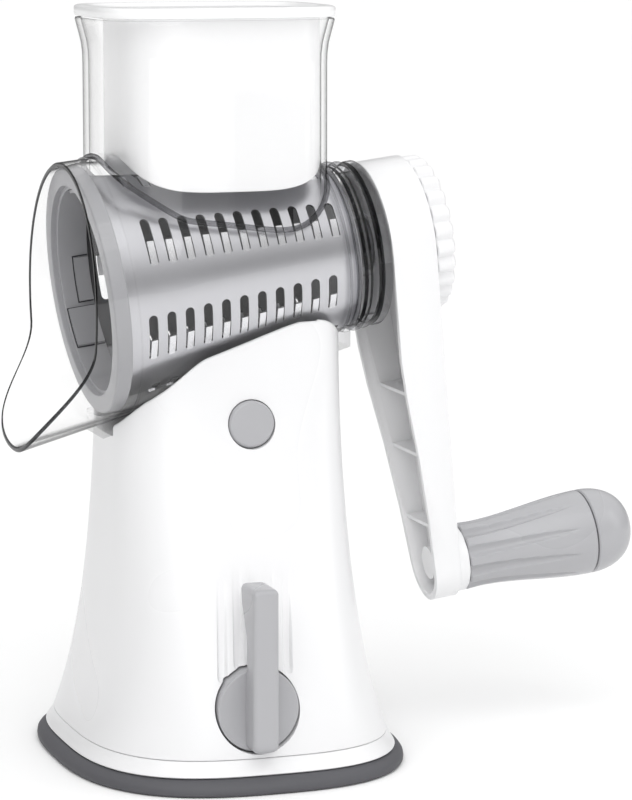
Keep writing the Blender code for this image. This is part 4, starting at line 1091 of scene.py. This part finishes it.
# ------------------------------------------------------------ crank
def arc(radius, start, sweep, steps, centre_x=0.0):
    angles = [start + sweep * i / steps for i in range(steps + 1)]
    return [(centre_x + radius * cos(a), radius * sin(a)) for a in angles]


def arm_outline(shrink):
    """Teardrop round the hub and the grip's end."""
    tangent = pi / 2 - (CRANK_HUB_R - CRANK_END_R) / GRIP_REACH
    hub = arc(CRANK_HUB_R - shrink, tangent, 2 * pi - 2 * tangent, 72)
    return hub + arc(CRANK_END_R - shrink, -tangent, 2 * tangent, 36, GRIP_REACH)


def build_crank():
    web = CRANK_FACE - CRANK_WALL
    arm = extrude("crank", arm_outline(0), CRANK_LOW, CRANK_FACE, "Z", DRUM_FRAME)
    space = extrude("channel", arm_outline(CRANK_WALL), CRANK_LOW - 10, web, "Z", DRUM_FRAME)
    combine(arm, space)
    for down, height in CRANK_RIBS:
        half = CRANK_HUB_R - (CRANK_HUB_R - CRANK_END_R) * down / GRIP_REACH - 0.5 * CRANK_WALL
        low, high = (down, -half, web - height), (down + CRANK_RIB_WIDTH, half, web + 1)
        combine(arm, block("rib", low, high, DRUM_FRAME), "UNION")
    edge = [(x, CRANK_LOW + rise) for x, rise in ARM_EDGE]
    edge += [(160, CRANK_LOW - 20), (-50, CRANK_LOW - 20)]
    combine(arm, extrude("edge", edge, -50, 50, "Y", DRUM_FRAME))
    bevel(arm, 0.7, 3, 45)
    combine(arm, rod("boss", CRANK_BOSS_R, CRANK_LOW + 3, web + 1, DRUM_FRAME, 64), "UNION")
    radius, end = COLLAR
    collar = [(0, web + 1.2), (radius + 1.0, web + 1.2), (radius + 1.0, CRANK_FACE)]
    collar += [(radius + 0.3, CRANK_FACE + 0.5), (radius, CRANK_FACE + 1.2)]
    collar += [(radius, end - 0.6), (radius - 0.6, end), (0, end)]
    combine(arm, turn("collar", collar, GRIP_FRAME, 96), "UNION")
    combine(arm, rod("spindle_boss", SPINDLE_BOSS_R, web - 5.5, web + 1, GRIP_FRAME, 48), "UNION")
    combine(arm, rod("shaft_bore", SHAFT_BORE_R, 100, 140, DRUM_FRAME, 48))
    combine(arm, rod("spindle_bore", SPINDLE_BORE_R, web - 4, 140, GRIP_FRAME, 48))
    finish_piece(arm, WHITE, "crank", "white_plastic", "crank_arm")


def knob_rib(radius, _height, angle):
    """Ribs round the knob's rim, with rounded gaps between them."""
    if radius < KNOB_R - 3:
        return radius
    wave = 0.5 + 0.5 * cos(KNOB_RIBS * angle)
    return radius - KNOB_RIB_DEPTH * (1 - wave) ** 2


def build_knob():
    low, high = KNOB_SPAN
    profile = [(0, CRANK_FACE - 20), (3.5, CRANK_FACE - 20), (3.5, low)]
    profile += [(KNOB_R - 3.2, low), (KNOB_R - 3.2, low + 0.6), (KNOB_R - 0.4, low + 0.7)]
    profile += [(KNOB_R, low + 1.1), (KNOB_R, high - 2.0), (KNOB_R - 0.5, high - 0.9)]
    profile += [(KNOB_R - 1.6, high - 0.2), (KNOB_R - 2.8, high), (21.0, high)]
    profile += [(20.0, high - 0.5), (19.0, high - 1.2), (0, high - 1.2)]
    knob = turn("ribbed_knob", profile, DRUM_FRAME, KNOB_RIBS * 12, knob_rib)
    finish_piece(knob, WHITE, "knob", "white_plastic", "lock_knob")


# ------------------------------------------------------------ grip
def grip_radius(share):
    waist = GRIP_ROOT - (GRIP_ROOT - GRIP_WAIST) * min(share / 0.12, 1)
    return waist + (GRIP_END_R - GRIP_WAIST) * smoothstep((share - 0.12) / 0.88)


def grip_flute(radius, height, angle):
    """Long grooves, wide at the collar and running out to a point before the cap."""
    share = (height - GRIP_SPAN[0]) / (GRIP_SPAN[1] - GRIP_SPAN[0])
    if radius < 6 or share > GRIP_FLUTE_END:
        return radius
    left = 1 - share / GRIP_FLUTE_END
    phase = (angle * GRIP_FLUTES / (2 * pi) + 0.5) % 1 - 0.5
    reach = abs(2 * phase) / max(0.62 * left**0.6, 0.01)
    if reach >= 1:
        return radius
    return radius - GRIP_FLUTE_DEPTH * left**0.45 * (1 - reach**2) ** 0.9


def build_grip():
    low, high = GRIP_SPAN
    steps = 44
    profile = [(GRIP_BORE_R, low), (GRIP_ROOT - 0.5, low), (GRIP_ROOT, low + 0.5)]
    for i in range(1, steps):
        profile.append((grip_radius(i / steps), low + (high - low) * i / steps))
    profile += [(GRIP_END_R, high - 0.5), (GRIP_END_R - 0.5, high), (GRIP_BORE_R, high)]
    grip = turn("fluted_grip", profile, GRIP_FRAME, GRIP_FLUTES * 24, grip_flute)
    finish_piece(grip, GREY, "grip", "grey_plastic", "handle_grip")


def build_cap():
    """Domed cap of the grip, with a pocket for the screw's head."""
    pocket_r, pocket_end = CAP_POCKET
    base = GRIP_SPAN[1] + 0.5
    length = GRIP_CAP_END - base
    profile = [(pocket_r, base), (GRIP_END_R - 0.5, base), (GRIP_END_R, base + 0.5)]
    for i in range(1, 20):
        angle = 0.5 * pi * i / 20
        radius = GRIP_END_R * cos(angle) ** 0.75
        profile.append((radius, base + 0.8 + (length - 0.8) * sin(angle)))
    profile += [(0.3, GRIP_CAP_END), (0.3, pocket_end), (pocket_r, pocket_end)]
    cap = turn("domed_cap", profile, GRIP_FRAME, 128)
    finish_piece(cap, GREY, "grip", "grey_plastic", "grip_end_cap")


# ------------------------------------------------------------ pusher
def build_pusher():
    """Food pusher: an open cup with a saddle-shaped floor and a flange round its top."""
    top = FLANGE_TOP
    rim = top - 4.1

    def saddle(y):
        return PUSHER_SADDLE_Z + max(PUSHER_SADDLE_R**2 - y * y, 0) ** 0.5

    def wall(inset, height):
        return squircle(PUSHER[0] - inset, PUSHER[1] - inset, HOPPER_POWER, height, PUSHER_X)

    def curved(inset, lift):
        return [(x, y, saddle(y) + lift) for x, y, _ in wall(inset, 0)]

    def flange(inset, height):
        half = (HOPPER[0] + PUSHER_OVERHANG - inset, HOPPER[1] + PUSHER_OVERHANG - inset)
        return squircle(*half, HOPPER_POWER, height, HOPPER_X)

    loops = [curved(PUSHER[0] * f, 0) for f in (0.85, 0.6, 0.35, 0.15)]
    loops += [curved(1.4, 0.0), curved(0.5, 0.3), curved(0.1, 0.9), curved(0, 1.6)]
    loops += [wall(0, z) for z in (234, 250, 266, rim)]
    loops += [flange(1.2, rim), flange(0.3, rim + 0.3), flange(0, rim + 0.9), flange(0, top - 1.0)]
    loops += [flange(0.3, top - 0.3), flange(1.0, top), flange(4.4, top), flange(5.0, top - 0.4)]
    loops += [wall(2.0, top - 1.4), wall(2.0, 250), wall(2.0, 236), curved(2.0, 3.2)]
    loops += [curved(2.6, 2.3), curved(3.6, 2.0)]
    loops += [curved(PUSHER[0] * f, 2.0) for f in (0.3, 0.5, 0.7, 0.85)]
    pusher = loft("food_pusher", loops)
    finish_piece(pusher, PUSHER_WHITE_PAINTED_LIGHT, "plunger", "white_plastic", "pusher")


# ------------------------------------------------------------ carried-over CAD nodes
STEEL_NODES = ["suction_stem", "cam_shaft", "shaft_clip", "button_spring", "drive_shaft"]
STEEL_NODES += ["handle_spindle", "handle_washer", "handle_screw"]
STEEL_NODES += [f"base_screw_{index}" for index in range(1, 5)]
CARRIED = {"base_plate": GREY, "latch_plate": WHITE, "shaft_bush": GREY, "drum_rear_hub": RING_GREY}
CARRIED.update((node, PIN_STEEL) for node in STEEL_NODES)


def dress_carried():
    for node, surface in CARRIED.items():
        frame["nodes"][node].data.materials.clear()
        frame["nodes"][node].data.materials.append(surface)


# ------------------------------------------------------------ studio
SIDE_LIGHT = 0.27
TOP_LIGHT = 1.10
LEFT_SHARE = 0.62
SUN_POWER = 1.0
SUN_SPREAD = radians(60)
SUN_TURN = (radians(42), 0, radians(-28))
FLOOR_HALF = 2e4
FLOOR_GAP = 0.2
CAMERA_PLACE = (-0.38212, -1.25194, 0.32812)
CAMERA_YAW = radians(-18.64)
CAMERA_PITCH = radians(8.40)
CAMERA_LENS = 155.87
CAMERA_SENSOR = 36.0


def link_object(name, data):
    """An object for a light or a camera, linked into the scene."""
    made = bpy.data.objects.new(name, data)
    bpy.context.scene.collection.objects.link(made)
    return made


def build_floor():
    corners = [(-FLOOR_HALF, -FLOOR_HALF), (FLOOR_HALF, -FLOOR_HALF)]
    corners += [(FLOOR_HALF, FLOOR_HALF), (-FLOOR_HALF, FLOOR_HALF)]
    floor = make("floor", [(x, y, -FLOOR_GAP) for x, y in corners], [(0, 1, 2, 3)])
    paper = Nodes("studio_floor")
    grain = paper.noise(paper.coordinates(), 8.0)
    tint = paper.tint(grain, (0.94, 0.94, 0.94), (0.96, 0.96, 0.96))
    paper.link(tint, paper.shader.inputs["Base Color"])
    paper.set(Roughness=0.9, Specular_IOR_Level=0.1)
    floor.data.materials.append(paper.material)


def build_world():
    """White sky: stronger overhead than at the sides, and weaker on the left."""
    world = bpy.data.worlds.new("studio")
    world.use_nodes = True
    tree = world.node_tree
    direction = tree.nodes.new("ShaderNodeTexCoord")
    split = tree.nodes.new("ShaderNodeSeparateXYZ")
    tree.links.new(direction.outputs["Generated"], split.inputs["Vector"])
    climb = map_range(tree, split.outputs["Z"], (0.10, 0.75, SIDE_LIGHT, TOP_LIGHT), "SMOOTHSTEP")
    across = map_range(tree, split.outputs["X"], (-0.9, 0.1, LEFT_SHARE, 1.0))
    strength = tree.nodes.new("ShaderNodeMath")
    strength.operation = "MULTIPLY"
    tree.links.new(climb, strength.inputs[0])
    tree.links.new(across, strength.inputs[1])
    sky = tree.nodes["Background"]
    sky.inputs["Color"].default_value = (1, 1, 1, 1)
    tree.links.new(strength.outputs["Value"], sky.inputs["Strength"])
    bpy.context.scene.world = world


def area_light(name, place, target, size, power):
    data = bpy.data.lights.new(name, "AREA")
    data.shape = "RECTANGLE"
    data.size, data.size_y = size
    data.energy = power
    light = link_object(name, data)
    light.location = place
    light.rotation_euler = (Vector(target) - Vector(place)).to_track_quat("-Z", "Y").to_euler()


def build_lights():
    sun = bpy.data.lights.new("sky_panel", "SUN")
    sun.energy = SUN_POWER
    sun.angle = SUN_SPREAD
    link_object("sky_panel", sun).rotation_euler = Euler(SUN_TURN)
    area_light("front_box", (-0.20, -1.35, 0.40), (0, 0, 0.15), (0.8, 1.0), 3.8)
    area_light("right_box", (1.1, -0.5, 0.55), (0.05, 0, 0.15), (0.35, 0.9), 1.5)


def build_camera():
    data = bpy.data.cameras.new("camera")
    data.lens = CAMERA_LENS
    data.sensor_width = CAMERA_SENSOR
    camera = link_object("camera", data)
    camera.location = CAMERA_PLACE
    camera.rotation_euler = (pi / 2 - CAMERA_PITCH, 0, CAMERA_YAW)
    bpy.context.scene.camera = camera
    bpy.context.scene.view_settings.view_transform = "Standard"


build_tower()
build_trim()
build_foot()
build_lever()
build_button()
build_clear()
build_bead()
build_drum()
build_ring()
build_crank()
build_knob()
build_grip()
build_cap()
build_pusher()
dress_carried()
build_floor()
build_world()
build_lights()
build_camera()
